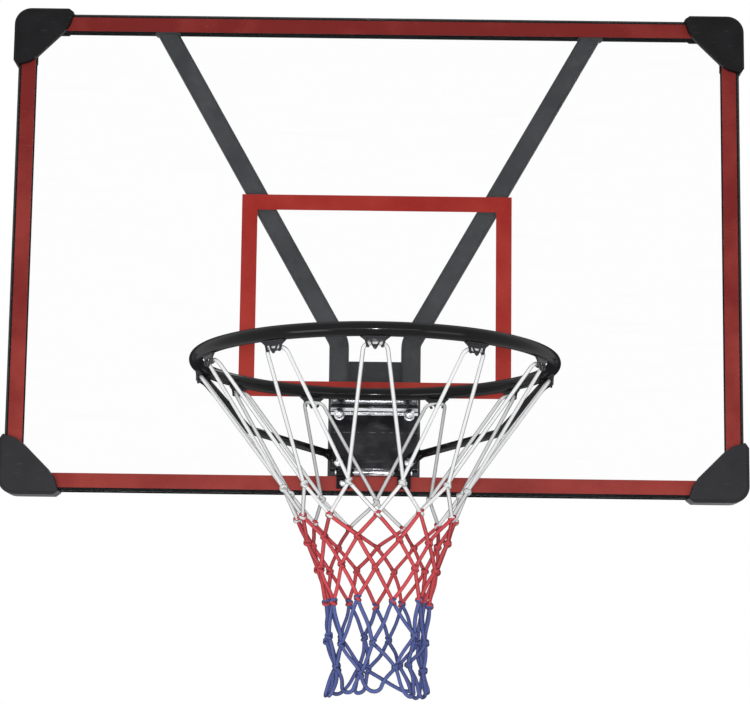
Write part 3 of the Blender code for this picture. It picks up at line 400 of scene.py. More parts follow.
def ink_look(name, dark, light):
    """Red ink: broad clouds between two tones, fine specks, paler towards the board's lower edge as painted
    light, and a few rubbed scratches across, painted lighter as a glint."""
    look, shader, place = new_look(name, roughness=0.4, specular=0.08)
    # painted light: the ink paler towards the bottom
    painted_light = PAINTED_LIGHT_RATE * (PAINTED_LIGHT_BELOW - place.axis("Z"))
    clouds = place.noise(14.0, 5.0).between(0.35, 0.65)
    specks = place.noise(420.0, 2.0)
    # rubbed scratches, painted lighter as a glint as well as wear
    scratch = place.stretched((3.0, 1.0, 40.0), 0.7).noise(18.0, 3.0).between(0.70, 0.78)
    tone = (0.75 * clouds + 0.5 * (specks - 0.5) + painted_light).clamped().tint(dark, light)
    (0.45 * scratch).tint(tone, RUB_AND_GLINT_TONE).to(shader, "Base Color")
    (0.34 + 0.16 * clouds + 0.1 * scratch).to(shader, "Roughness")
    specks.raises(shader, 0.12, 0.2 * MM)
    return look


def dress(node, look):
    """Gives a CAD node a better material."""
    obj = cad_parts[node]
    if not obj.material_slots:
        obj.data.materials.append(look)
    for place in obj.material_slots:
        place.material = look


dress("border_line", ink_look("border_red", *BORDER_INK))
dress("target_square", ink_look("target_red", *TARGET_INK))


# Tube frame
# Four lengths of square steel tube, cut to butt at the corners, welded and powder-coated black. They carry
# the board on their front faces.

TUBE_CORNER = 1.2 * MM
TUBE_WALL = 1.5 * MM
RAIL_END_CHAMFER = 10 * MM
COAT_DARK = (0.0060, 0.0056, 0.0066, 1)
COAT_LIGHT = (0.0110, 0.0104, 0.0122, 1)


def coat_look(name, dark, light, gloss, specular, peel=0.16, dull=1.0):
    """Powder coat: cloudy between two tones, orange peel in the surface, dust that dulls it in patches."""
    look, shader, place = new_look(name, roughness=gloss, specular=specular)
    clouds = place.noise(22.0, 6.0).between(0.3, 0.7)
    dust_and_painted_light = place.noise(95.0, 8.0).between(0.5, 0.75)
    (0.6 * clouds + 0.4 * dust_and_painted_light).tint(dark, light).to(shader, "Base Color")
    (gloss + 0.10 * dull * clouds + 0.16 * dull * dust_and_painted_light).to(shader, "Roughness")
    place.noise(900.0, 1.0).raises(shader, peel, 0.3 * MM)
    return look


def bar_section(width, depth, corner, steps):
    """Rectangle round its middle, with round corners."""
    return arcs(rectangle((-width / 2, -depth / 2), (width / 2, depth / 2)), corner, steps)


def carried(path, section, up, closed=False):
    """Grid of a section carried along a path. Row i lies in the plane square to the path at point i; its
    first axis is square to `up`, and its second is what is left of `up` there. The section may change from
    row to row."""
    path = np.asarray(path, float)
    if closed:
        along = np.roll(path, -1, 0) - np.roll(path, 1, 0)
    else:
        along = np.gradient(path, axis=0)
    along /= np.linalg.norm(along, axis=1)[:, None]
    side = np.cross(along, up)
    side /= np.linalg.norm(side, axis=1)[:, None]
    rise = np.cross(side, along)
    section = np.broadcast_to(section, (len(path),) + np.shape(section)[-2:])
    grid = path[:, None] + section[..., :1] * side[:, None] + section[..., 1:] * rise[:, None]
    return np.concatenate([grid, grid[:1]]) if closed else grid


def settled(obj):
    """The object's mesh with its modifiers worked in; the object is removed."""
    bpy.context.view_layer.update()
    mesh = bpy.data.meshes.new_from_object(obj.evaluated_get(bpy.context.evaluated_depsgraph_get()))
    bpy.data.objects.remove(obj, do_unlink=True)
    return mesh


def walled(name, grid):
    """Tube with a wall inside its outer surface, open at both ends."""
    obj = in_scene(name, mesh_of(name, [grid]))
    thick = obj.modifiers.new("Wall", "SOLIDIFY")
    thick.thickness = TUBE_WALL
    thick.offset = -1
    return settled(obj)


def cross_rail(low, high, edge, inward):
    """Top or bottom tube: along X, each end cut back over the outer edge, where the corner pad is round."""
    middle = (low + high) / 2
    section = bar_section(high.y - low.y, high.z - low.z, TUBE_CORNER, 5)
    grid = carried([(x, *middle.yz) for x in (low.x, 0, high.x)], section, (0, 0, 1))
    cut = np.maximum(RAIL_END_CHAMFER - inward * (grid[0, :, 2] - edge), 0)
    grid[0, :, 0] += cut
    grid[-1, :, 0] -= cut
    return grid


def side_rail(low, high):
    """Left or right tube: along Z, cut off square."""
    middle = (low + high) / 2
    section = bar_section(high.x - low.x, high.y - low.y, TUBE_CORNER, 5)
    return carried([(*middle.xy, z) for z in (low.z, middle.z, high.z)], section, (0, 1, 0))


frame_coat = coat_look("frame_black", COAT_DARK, COAT_LIGHT, gloss=0.5, specular=0.0)
for name, tube in (("top", cross_rail(*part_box("rail_top"), panel_high.z, -1)),
                   ("bottom", cross_rail(*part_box("rail_bottom"), panel_low.z, 1)),
                   ("left", side_rail(*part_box("rail_left"))),
                   ("right", side_rail(*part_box("rail_right")))):
    rail = "rail_" + name
    piece("tube_" + name, walled(rail, tube), frame_coat, "board", "frame_black", rail)


# Braces and rear plate
# Two grey-painted steel tubes, bent once: upright behind the bracket, then leaning out to the top rail as a
# V. Their feet are welded to a steel plate that bolts to the pole.

SIDES = (("left", -1), ("right", 1))
BRACE_WIDTH = 30 * MM
BRACE_CORNER = 6 * MM
BRACE_BEND_HEIGHT = 106 * MM
BRACE_BEND_RADIUS = 32 * MM
BRACE_TOP_X = 330 * MM
PAINT_DARK = (0.036, 0.038, 0.042, 1)
PAINT_LIGHT = (0.074, 0.077, 0.083, 1)
PLATE_DARK = (0.030, 0.030, 0.033, 1)
PLATE_LIGHT = (0.062, 0.062, 0.066, 1)
BEAD = 2.2 * MM
BEAD_SINK = 0.3 * BEAD             # how far a bead's middle lies inside the tube's end
BEAD_STEP = 3.4 * MM               # from one weld ripple to the next
BEAD_SWELL = 0.16


def brace_tube(side):
    """The section carried up the middle line, from the foot round the bend and past the top rail, and then
    drawn back to the rail along the tube's own direction."""
    low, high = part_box("brace_right")
    bend = np.array([side * (low.x + BRACE_WIDTH / 2), BRACE_BEND_HEIGHT])
    head = np.array([side * BRACE_TOP_X, high.z])
    past = head + (head - bend) / np.linalg.norm(head - bend) * BRACE_WIDTH
    route = arcs([(bend[0], low.z), bend, past], BRACE_BEND_RADIUS, 14, False)
    route = np.insert(route, 1, (low.y + high.y) / 2, axis=1)
    grid = carried(route, bar_section(BRACE_WIDTH, high.y - low.y, BRACE_CORNER, 5), (0, 1, 0))
    lean = (route[-1] - route[-2]) / np.linalg.norm(route[-1] - route[-2])
    grid[-1] -= lean * ((grid[-1, :, 2] - high.z) / lean[2])[:, None]
    return grid


def evenly(path, step, least=2, closed=False):
    """The path again, with points at equal steps along it, and the run to each. A closed path gives its first
    point at its end too, and its last step isn't repeated."""
    path = np.asarray(path, float)
    run = np.concatenate([[0], np.cumsum(np.linalg.norm(np.diff(path, axis=0), axis=1))])
    even = np.linspace(0, run[-1], max(int(run[-1] / step), least), endpoint=not closed)
    return np.stack([np.interp(even, run, path[:, axis]) for axis in range(3)], -1), even


def round_section(radius, sides):
    turn = np.linspace(0, 2 * math.pi, sides, endpoint=False)
    return radius * np.stack([np.cos(turn), np.sin(turn)], -1)


def bead(path, radius, closed=True):
    """Weld bead: a round section carried along the seam, its radius swelling and falling with each ripple."""
    route, run = evenly(path, BEAD_STEP / 6, 12, closed)
    swell = 1 + BEAD_SWELL * np.sin(run / BEAD_STEP * 2 * math.pi)
    if not closed:
        swell *= np.sqrt(np.clip(np.minimum(run, run[-1] - run) / radius, 0, 1))
    return carried(route, swell[:, None, None] * round_section(radius, 9), (0, 0, 1), closed)


brace_paint = coat_look("brace_grey", PAINT_DARK, PAINT_LIGHT, gloss=0.42, specular=0.14, peel=0.12)
for name, side in SIDES:
    tube = brace_tube(side)
    piece("brace_tube_" + name, walled("brace", tube), brace_paint, "board", "brace_grey", "brace_" + name)
    seams = [bead(np.concatenate([end, end[:1]]) + (0, 0, sink), BEAD)
             for end, sink in ((tube[0], BEAD_SINK), (tube[-1], -BEAD_SINK))]
    piece("brace_weld_" + name, mesh_of("brace_weld", seams), brace_paint, "board", "brace_grey")
dress("rear_plate", coat_look("plate_grey", PLATE_DARK, PLATE_LIGHT, gloss=0.45, specular=0.12, peel=0.12))


# Corner pads
# Moulded black plastic caps, chamfered along the two outer sides, with a fine groove inside the chamfer. Each
# is pushed over a corner of the board, and its pocket, open to the rear, takes the panel and the tubes.

PAD_OVERHANG = 7 * MM
PAD_OUTLINE = (                    # mm, from the outer corner
    (0, 0), (84, 0), (92, 6), (86, 25), (77, 38), (38, 77), (25, 86), (6, 92), (0, 84),
)
PAD_RADII = (26, 1.5, 1.5, 6, 8, 8, 6, 1.5, 1.5)
PAD_OUTER = (1, 0, 0, 0, 0, 0, 0, 0, 1)     # sides of the outline that are chamfered
PAD_LAYERS = (                     # mm: inset on the outer sides, on the others, distance behind the front
    (0, 0, 2.6), (0.3, 0.3, 2.0), (3.9, 0.4, 0.35), (4.1, 0.5, 0.2), (4.2, 0.55, 0.8), (4.8, 0.6, 0.8),
    (4.9, 0.65, 0.1), (5.2, 0.8, 0), (5.4, 1.0, 0),
)
PAD_REAR_LAYERS = ((1.6, 0), (0.5, 0.4), (0, 1.6))    # mm: inset, and distance in front of the rear face
PAD_WALLS = (8 * MM, 3 * MM)       # in front of the pocket and behind it
POCKET_EDGE = 6.7                  # mm: from the pad's outer sides to the pocket
POCKET_CHAMFER = 4.7               # mm: of the pocket's corner
POCKET_RADIUS = 0.2 * MM
REAR_LIP = 32.4                    # mm: how far the rear wall reaches in over the tubes
REAR_RADIUS = 6 * MM
CUT_TO = 120                       # mm: where the cutting shapes end, past the pad
WINDOW_PAST = (2 * MM, 1 * MM)     # from where in the pocket the rear wall is cut, to where behind the pad
PAD_DARK = (0.0030, 0.0030, 0.0036, 1)
PAD_LIGHT = (0.0280, 0.0280, 0.0315, 1)
PAD_SCUFF = (0.085, 0.085, 0.092, 1)
PAD_PAINTED_LIGHT = (0.5, -0.1)             # heights between which painted light makes the pads paler


def pad_look():
    """Moulded plastic: fine leather-like grain, cloudy tone, painted light paling the lower pads, scuffed."""
    look, shader, place = new_look("pad_plastic", specular=0.14)
    grain = place.node("TexVoronoi", {"feature": "SMOOTH_F1"}, {"Vector": place, "Scale": 900.0}, "Distance")
    clouds = place.noise(30.0, 5.0).between(0.35, 0.7)
    scuff = place.stretched((1.0, 1.0, 5.0), 0.6).noise(60.0, 4.0).between(0.64, 0.74)
    # painted light: paler towards the bottom
    dust_and_painted_light = place.axis("Z").between(*PAD_PAINTED_LIGHT)
    tone = (0.3 * clouds + 0.7 * dust_and_painted_light).tint(PAD_DARK, PAD_LIGHT)
    (0.3 * scuff).tint(tone, PAD_SCUFF).to(shader, "Base Color")
    (0.42 + 0.14 * clouds).to(shader, "Roughness")
    grain.raises(shader, 0.25, 0.2 * MM)
    return look


def carve(mesh, tool, operation="DIFFERENCE"):
    """The mesh with the tool's mesh cut out of it, or joined to it."""
    body, knife = in_scene("body", mesh), in_scene("tool", tool)
    change = body.modifiers.new("Change", "BOOLEAN")
    change.operation = operation
    change.solver = "EXACT"
    change.object = knife
    made = settled(body)
    bpy.data.objects.remove(knife, do_unlink=True)
    return made


def pad_mesh(low, high, side, up):
    """The outline carried from the rear face over the chamfer and the groove to the front face. The pocket is
    cut out of it, and then the rear wall where no tube lies."""
    edge, chamfered = POCKET_EDGE, POCKET_EDGE + POCKET_CHAMFER
    pocket = [(edge, chamfered), (chamfered, edge), (CUT_TO, edge), (CUT_TO, CUT_TO), (edge, CUT_TO)]
    opening = rectangle((REAR_LIP, REAR_LIP), (CUT_TO, CUT_TO))
    corner = np.array([side * (panel_high.x + PAD_OVERHANG), high.z if up > 0 else low.z])
    outline, pocket, opening = (corner - np.array(points) * (side, up) * MM
                                for points in (PAD_OUTLINE, pocket, opening))
    radii, outer = np.array(PAD_RADII) * MM, np.array(PAD_OUTER)
    if side * up < 0:
        outline, radii, pocket, opening = outline[::-1], radii[::-1], pocket[::-1], opening[::-1]
        outer = np.roll(outer[::-1], -1)
    layers = [(slim * MM, high.y - depth * MM) for slim, depth in PAD_REAR_LAYERS]
    layers += [((outer * wide + (1 - outer) * slim) * MM, low.y + depth * MM)
               for wide, slim, depth in PAD_LAYERS]
    front, rear = low.y + PAD_WALLS[0], high.y - PAD_WALLS[1]
    hollow = plate(pocket, POCKET_RADIUS, [(0, front), (0, rear)], 2)
    window = plate(opening, REAR_RADIUS, [(0, front + WINDOW_PAST[0]), (0, high.y + WINDOW_PAST[1])], 4)
    shell = mesh_of("pad", [plate(outline, radii, layers, 10)])
    shell = carve(shell, mesh_of("pad_pocket", [hollow]))
    return carve(shell, mesh_of("pad_rear", [window]))


pad_plastic = pad_look()
for edge, up in (("top", 1), ("bottom", -1)):
    for name, side in SIDES:
        node = f"corner_pad_{edge}_{name}"
        pad = pad_mesh(*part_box(node), side, up)
        piece(f"pad_{edge}_{name}", pad, pad_plastic, "board", "pad_plastic", node, smooth=17)


# Fixed base and hinge pin
# A black plate bolted to the board behind the bracket, with two legs over the lower tube. The knuckles on the
# legs hold a zinc-plated pin, on which the bracket tips.

RING_DARK = (0.0040, 0.0040, 0.0046, 1)
RING_LIGHT = (0.0075, 0.0075, 0.0085, 1)
DARK_REFLECTION_FROM = (0.5, 0.8)             # where the painted dark reflection starts and ends: 0 is face on, 1 edge on
PAINTED_DARK_REFLECTION = (0.026, 0.026, 0.030, 1)
ZINC_DARK = (0.50, 0.51, 0.54, 1)
ZINC_LIGHT = (0.80, 0.81, 0.83, 1)


def zinc_look():
    """Zinc plate: bright, with cloudy duller patches and a fine drawn grain."""
    look, shader, place = new_look("zinc", roughness=0.28, metallic=1.0)
    clouds = place.noise(160.0, 5.0).between(0.35, 0.65)
    clouds.tint(ZINC_LIGHT, ZINC_DARK).to(shader, "Base Color")
    (0.2 + 0.2 * clouds).to(shader, "Roughness")
    place.noise(2400.0, 2.0).raises(shader, 0.15, 0.1 * MM)
    return look


def dark_reflection_at_slant(look):
    """The look with a painted dark reflection at a slant, a matt dark tone: the real one mirrors a dark room.
    """
    tree = look.node_tree
    start = Wire(tree)
    gloss = Wire(tree, tree.nodes["Principled BSDF"].outputs[0])
    dark_reflection = start.node("BsdfPrincipled",
                      sockets={"Base Color": PAINTED_DARK_REFLECTION, "Roughness": 1.0, "Specular IOR Level": 0.0})
    # painted reflection: a dark matt tone mixed in where the coat is seen at a slant
    mixed = start.node("MixShader", sockets={0: start.slant().between(*DARK_REFLECTION_FROM), 1: gloss, 2: dark_reflection})
    mixed.to(tree.nodes["Material Output"], "Surface")
    return look


ring_coat = dark_reflection_at_slant(coat_look("ring_coat", RING_DARK, RING_LIGHT, 0.10, 0.15, peel=0.03, dull=0.3))
zinc = zinc_look()
dress("base_plate", ring_coat)
dress("hinge_pin", zinc)


# Sprung bracket
# Folded 3 mm sheet: a flange that butts against the ring's rod from behind and is welded to it, a step, and
# a flat face down to the tongue, which is rolled round the hinge pin. Gloss black, with painted highlights,
# bright and metallic, along the step and on the rolled tongue.

BRACKET_SHEET = 3 * MM
BRACKET_EDGE = 0.7 * MM
BRACKET_FOLD = 2.2 * MM
BRACKET_STEP = 5 * MM
STEP_RADIUS = 2 * MM
STEP_TOP = 1.8 * MM
FLANGE_HEIGHT = 6 * MM
FLANGE_TAPER = 5 * MM
RING_ROD = 18 * MM
RING_RADIUS = 234 * MM
FACE_END = 6 * MM                  # how far over the pin the flat face ends
PIN_ROOM = 2.6 * MM
BARREL_WALL = 2.4 * MM
BARREL_EDGE = 0.4 * MM
BARREL_TURN = 318                  # degrees that the tongue goes round the pin
TONGUE_HALF = 30 * MM
TONGUE_LAP = 4 * MM                # how far the tongue reaches up behind the face
SPRING_BOLT = (53 * MM, -9.5 * MM)          # x and z
STRUT_BOLT = (53 * MM, -82 * MM)
SPRING_HOLE = 6 * MM
STRUT_HOLE = 4.5 * MM
DRILL_HALF = 10 * MM
PAINTED_HIGHLIGHT_STRIPS = (                    # heights of the painted highlight lines on and below the step
    (-9.3 * MM, -4.9 * MM), (-3.1 * MM, 0.9 * MM),
)
FACE_FRONT = (-46 * MM, -44 * MM)  # the flange in front of this y has no painted highlights or rubs
BARREL_TOP = (-91.5 * MM, -90.5 * MM)
TONGUE_HIGHLIGHT_HALF = (28.5 * MM, 29.5 * MM)        # how far to each side the rolled tongue carries its painted highlight
# height of a dashed painted highlight across the face
DASHED_HIGHLIGHT_LINE = (-36.4 * MM, -35.2 * MM)
# painted highlight: the bright metallic tone of the lines on the step and of the tongue
PAINTED_HIGHLIGHT_STEEL = (0.82, 0.83, 0.87, 1)
BRACKET_DARK = (0.015, 0.015, 0.0175, 1)
BRACKET_LIGHT = (0.042, 0.042, 0.047, 1)
RUB_AND_HIGHLIGHT_TONE = (0.17, 0.17, 0.19, 1)


def capped(grid):
    """The grid with both ends drawn to their middles."""
    ends = [np.broadcast_to(grid[i].mean(0), grid[i].shape)[None] for i in (0, -1)]
    return np.concatenate([ends[0], grid, ends[1]])


def turned(profile, middle, sides=40, most=np.inf):
    """Turned shape on an axis along Y: rows of (radius, distance to the rear), each row a circle, cut back to
    `most` where that is less."""
    radius, depth = np.asarray(profile, float).T[:, :, None]
    radius = np.minimum(radius, most)
    turn = np.linspace(0, 2 * math.pi, sides, endpoint=False)[None, :]
    return np.stack([middle[0] + radius * np.cos(turn), middle[1] + depth + 0 * turn,
                     middle[2] + radius * np.sin(turn)], -1)


ring_low, ring_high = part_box("ring")
ring_y = (ring_low.y + ring_high.y) / 2


def bracket_mesh():
    """A flat section carried down the folded line, narrower towards the ring, joined to one that goes round
    the pin. The holes for the bolts are drilled out."""
    low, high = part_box("bracket")
    pin_low, pin_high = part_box("hinge_pin")
    hinge_y, hinge_z = (pin_low.yz + pin_high.yz) / 2
    rear = high.y - BRACKET_SHEET / 2
    front = rear - BRACKET_STEP
    bottom = hinge_z + FACE_END
    weld = ring_y + RING_RADIUS
    line = arcs([(weld, FLANGE_HEIGHT), (front, FLANGE_HEIGHT), (front, STEP_TOP),
                 (rear, STEP_TOP - BRACKET_STEP), (rear, bottom)],
                [0, BRACKET_FOLD, STEP_RADIUS, STEP_RADIUS, 0], 8, False)
    width = np.interp(line[:, 0], [weld, front - BRACKET_FOLD], [high.x - FLANGE_TAPER, high.x]) * 2
    sections = np.stack([bar_section(BRACKET_SHEET, across, BRACKET_EDGE, 3) for across in width])
    sheet = mesh_of("bracket", [capped(carried(np.insert(line, 0, 0, axis=1), sections, (1, 0, 0)))])
    bend = PIN_ROOM + BARREL_WALL / 2
    turn = np.radians(np.linspace(0, BARREL_TURN, 40))
    roll = np.stack([0 * turn, hinge_y + bend * np.cos(turn), hinge_z - bend * np.sin(turn)], -1)
    tongue = np.concatenate([[(0, hinge_y + bend, bottom + TONGUE_LAP)], roll])
    section = bar_section(BARREL_WALL, 2 * TONGUE_HALF, BARREL_EDGE, 3)
    sheet = carve(sheet, mesh_of("tongue", [capped(carried(tongue, section, (1, 0, 0)))]), "UNION")
    for (x, z), radius in ((SPRING_BOLT, SPRING_HOLE), (STRUT_BOLT, STRUT_HOLE)):
        for _, side in SIDES:
            drill = turned([(radius, -DRILL_HALF), (radius, DRILL_HALF)], (side * x, rear, z))
            sheet = carve(sheet, mesh_of("drill", [capped(drill)]))
    return sheet


def bracket_look():
    """Gloss coat with painted highlights, bright and metallic, along the step and on the rolled tongue, and
    a dashed painted highlight across the face.
    """
    look, shader, place = new_look("bracket_coat", roughness=0.14, specular=0.16)
    x, y, z = (place.axis(axis) for axis in "XYZ")

    def strip(low, high, soft=0.3 * MM):
        return z.between(low - soft, low + soft) * (1 - z.between(high - soft, high + soft))

    streaks = place.stretched((1.0, 1.0, 14.0)).noise(60.0, 4.0)
    clouds = place.noise(34.0, 6.0).between(0.4, 0.7)
    dashes = place.noise(120.0, 2.0).between(0.46, 0.60)
    rub = place.stretched((3.0, 1.0, 16.0), 0.45).noise(9.0, 5.0).between(0.56, 0.72)
    face = y.between(*FACE_FRONT)
    # painted highlights: bright metallic lines on and below the step, and along the rolled tongue
    painted_lines = (strip(*PAINTED_HIGHLIGHT_STRIPS[0]) + strip(*PAINTED_HIGHLIGHT_STRIPS[1])) * face * streaks.between(0.30, 0.42)
    tongue_highlight = (1 - z.between(*BARREL_TOP)) * (1 - x.math("ABSOLUTE").between(*TONGUE_HIGHLIGHT_HALF))
    painted_highlight = (painted_lines + tongue_highlight * streaks.between(0.40, 0.56)).clamped()
    # a dashed painted highlight across the face, and random rubbed wear, in one lighter tone
    rubs_and_highlight = (0.7 * strip(*DASHED_HIGHLIGHT_LINE) * dashes * face + 0.10 * rub * face).clamped()
    tone = rubs_and_highlight.tint(clouds.tint(BRACKET_DARK, BRACKET_LIGHT), RUB_AND_HIGHLIGHT_TONE)
    painted_highlight.tint(tone, PAINTED_HIGHLIGHT_STEEL).to(shader, "Base Color")
    painted_highlight.to(shader, "Metallic")
    (0.10 + 0.10 * clouds + 0.14 * painted_highlight + 0.2 * rub * face).to(shader, "Roughness")
    streaks.raises(shader, 0.15, 0.3 * MM)
    return look


piece("folded_bracket", bracket_mesh(), bracket_look(), "rim", "ring_coat", "bracket")


# Ring
# 18 mm round steel rod rolled to 450 mm inside, its ends butted behind the bracket's flange, welded to it and
# to the struts, and powder-coated gloss black.

RING_GRID = (240, 28)              # points along the rod and round it
FLANGE_SEAM = (10.5, 242 * MM, 3.9 * MM)    # degrees to each side, radius and height under the flange
FLANGE_BEAD = 2 * MM
STRUT_SEAM = (5.6 * MM, 9.5 * MM)  # half width and half length of the seam round a strut's end
STRUT_BEAD = 1.8 * MM
STRUT_ANGLE = 105
SEAM_DROP = 0.2 * MM


def ring_point(degrees, radius, z):
    """Points at these angles from the ring's front, positive to the right."""
    turn = np.radians(degrees)
    return np.stack(np.broadcast_arrays(radius * np.sin(turn), ring_y - radius * np.cos(turn), z), -1)


ring_line = ring_point(np.linspace(0, 360, RING_GRID[0], endpoint=False), RING_RADIUS, 0.0)
ring_grid = carried(ring_line, round_section(RING_ROD / 2, RING_GRID[1]), (0, 0, 1), True)
piece("ring_rod", mesh_of("ring_rod", [ring_grid]), ring_coat, "rim", "ring_coat", "ring")
half, radius, height = FLANGE_SEAM
seams = [bead(ring_point(np.linspace(180 - half, 180 + half, 40), radius, height), FLANGE_BEAD, False)]
turn = np.linspace(0, 2 * math.pi, 49)
oval = np.stack([STRUT_SEAM[0] * np.cos(turn), STRUT_SEAM[1] * np.sin(turn), 0 * turn], -1)
for _, side in SIDES:
    centre = ring_point(side * STRUT_ANGLE, RING_RADIUS, -RING_ROD / 2 - SEAM_DROP)
    seams.append(bead(oval + centre, STRUT_BEAD))
piece("ring_welds", mesh_of("ring_welds", seams), ring_coat, "rim", "ring_coat")


# Struts
# Two 12 mm rods welded under the ring's sides and led down to the bracket, where each end is forged flat to
# a tab and bolted.

WELD_GAP = 0.3 * MM                # between the ring's rod and what is welded under it
STRUT_ROD = 12 * MM
STRUT_LEAD = (4 * MM, -24 * MM, 0)
STRUT_BEND = (177 * MM, -228.6 * MM, -62 * MM)
STRUT_RADII = (0, 30 * MM, 32 * MM, 14 * MM, 0)
STRUT_STEP = 2 * MM
STRUT_SIDES = 24
TAB_ELBOW = (65 * MM, -38.4 * MM, -70 * MM)
TAB_END = (45 * MM, -38.2 * MM, -90 * MM)
TAB_HALF = (2 * MM, 9 * MM)
TAB_POWER = 6                      # of the tab's section: 2 is round, and a great one square
TAB_RUN = 24 * MM
FORGED_RUN = 20 * MM


def strut_grid(side):
    """A round section, drawn out flat towards the tab as a superellipse, and narrowed round its end."""
    start = ring_point(side * STRUT_ANGLE, RING_RADIUS, -RING_ROD / 2 - WELD_GAP - STRUT_ROD / 2)
    mirror = np.array([side, 1, 1])
    corners = [start + STRUT_LEAD * mirror, start, STRUT_BEND * mirror, TAB_ELBOW * mirror, TAB_END * mirror]
    path, run = evenly(arcs(corners, STRUT_RADII, 12, False), STRUT_STEP)
    left = run[-1] - run
    flat = np.clip((TAB_RUN + FORGED_RUN - left) / FORGED_RUN, 0, 1)
    flat = flat * flat * (3 - 2 * flat)
    thick, wide = (STRUT_ROD / 2 + (half - STRUT_ROD / 2) * flat for half in TAB_HALF)
    wide = wide * np.sqrt(np.clip(1 - np.clip(1 - left / TAB_HALF[1], 0, 1) ** 2, 0.02, 1))
    power = (2 + (TAB_POWER - 2) * flat)[:, None, None]
    circle = round_section(1, STRUT_SIDES)
    section = np.sign(circle) * np.abs(circle) ** (2 / power) * np.stack([thick, wide], -1)[:, None]
    return capped(carried(path, section, (0, 0, 1)))


for name, side in SIDES:
    strut = mesh_of("strut", [strut_grid(side)])
    piece("strut_rod_" + name, strut, ring_coat, "rim", "ring_coat", "strut_" + name)


# Net hooks
# Eleven plates pressed from 2.5 mm steel and welded under the ring, each with two legs that turn in at the
# foot, a pointed tab with an eye, and a tongue behind that carries the cord.

HOOK_COUNT = 11
HOOK_STEP = 31.5                   # degrees
HOOK_SHEET = 2.5 * MM
HOOK_EDGE = 0.55 * MM
HOOK_GRID = (                      # mm: x and height at each of five levels, from the middle outwards
    ((0, 0), (0, -6.0), (0, -9.2), (0, -12.4), (0, -15.6)),
    ((4.6, 0), (4.1, -5.8), (2.6, -9.2), (1.7, -12.0), (0.8, -15.1)),
    ((6.6, 0), (6.2, -5.4), (4.6, -9.0), (3.4, -11.6), (1.8, -14.2)),
    ((11.0, 0), (9.2, -5.4), (8.7, -9.2), (7.0, -10.4), (6.7, -13.0)),
    ((18.5, 0), (12.6, -4.6), (11.2, -9.2), (11.0, -11.4), (9.8, -13.3)),
)
HOOK_CELLS = (                     # levels that have metal, from the middle
    (1, 0, 1, 1), (1, 1, 1, 1), (1, 0, 0, 0), (1, 1, 1, 1),
)
HOOK_SEAM = (15.5 * MM, 1.3 * MM)  # half length of the weld beads, and how far off the sheet's middle
HOOK_BEAD = 1.3 * MM
EYE_TONGUE = (                     # mm: towards the net's middle, and height
    (0, -11.0), (3.2, -11.0), (6.2, -10.2), (7.0, -8.2),
)
EYE_TONGUE_BEND = 2.2 * MM
EYE_TONGUE_STEP = 0.6 * MM
EYE_TONGUE_SECTION = (4 * MM, 1.8 * MM, 0.5 * MM)     # width, thickness, radius of its edges
HOOK_DARK = (0.014, 0.014, 0.017, 1)
HOOK_LIGHT = (0.040, 0.041, 0.048, 1)


def hook_mesh():
    """Columns from the top edge to the lower edge; the cells of the eye and of the two slots beside the tab
    are left out. The sheet gets its thickness and rounded edges, and the tongue and the weld beads are joined
    on."""
    half = np.array(HOOK_GRID, float).transpose(1, 0, 2)
    grid = np.concatenate([half[:, :0:-1] * (-1, 1), half], 1)
    columns = grid.shape[1]
    metal = np.array(HOOK_CELLS[::-1] + HOOK_CELLS).T
    cells = [(r * columns + c, (r + 1) * columns + c, (r + 1) * columns + c + 1, r * columns + c + 1)
             for r, c in np.argwhere(metal)]
    face = bpy.data.meshes.new("hook")
    face.from_pydata((np.insert(grid.reshape(-1, 2), 1, 0, axis=1) * MM).tolist(), [], cells)
    obj = in_scene("hook", face)
    thick = obj.modifiers.new("Sheet", "SOLIDIFY")
    thick.thickness = HOOK_SHEET
    thick.offset = 0
    edge = obj.modifiers.new("Edge", "BEVEL")
    edge.width = HOOK_EDGE
    edge.segments = 2
    edge.limit_method = "ANGLE"
    made = settled(obj)
    line = arcs(np.insert(np.array(EYE_TONGUE) * MM, 0, 0, axis=1), EYE_TONGUE_BEND, 4, False)
    path, _ = evenly(line, EYE_TONGUE_STEP)
    tongue = capped(carried(path, bar_section(*EYE_TONGUE_SECTION, 3), (0, 0, 1)))
    made = carve(made, mesh_of("tongue", [tongue]), "UNION")
    half, off = HOOK_SEAM
    for y in (-off, off):
        seam = bead([(-half, y, 0), (0, y, 0), (half, y, 0)], HOOK_BEAD, False)
        made = carve(made, mesh_of("seam", [seam]), "UNION")
    return made


def hung(mesh, degrees):
    """A copy of the hook's mesh under the ring at this angle, its rear side towards the ring's middle."""
    made = mesh.copy()
    points = np.empty(len(made.vertices) * 3)
    made.vertices.foreach_get("co", points)
    x, y, z = points.reshape(-1, 3).T
    cos, sin = math.cos(math.radians(degrees)), math.sin(math.radians(degrees))
    centre = ring_point(degrees, RING_RADIUS, -RING_ROD / 2 - WELD_GAP)
    placed = centre + np.stack([x * cos - y * sin, x * sin + y * cos, z], -1)
    made.vertices.foreach_set("co", placed.ravel())
    made.update()
    return made


hook = hook_mesh()
hook_coat = coat_look("hook_coat", HOOK_DARK, HOOK_LIGHT, gloss=0.24, specular=0.2)
for index in range(HOOK_COUNT):
    name = f"hook_{index + 1:02d}"
    angle = HOOK_STEP * (index - (HOOK_COUNT - 1) / 2)
    piece("net_" + name, hung(hook, angle), hook_coat, "rim", "ring_coat", name)


# Bolts, nuts and washers
# Zinc-plated dome-headed bolts with hexagon nuts: M8 through the springs and the struts' tabs, M6 through the
# base and its legs. The struts' bolts run into thin clinch nuts.

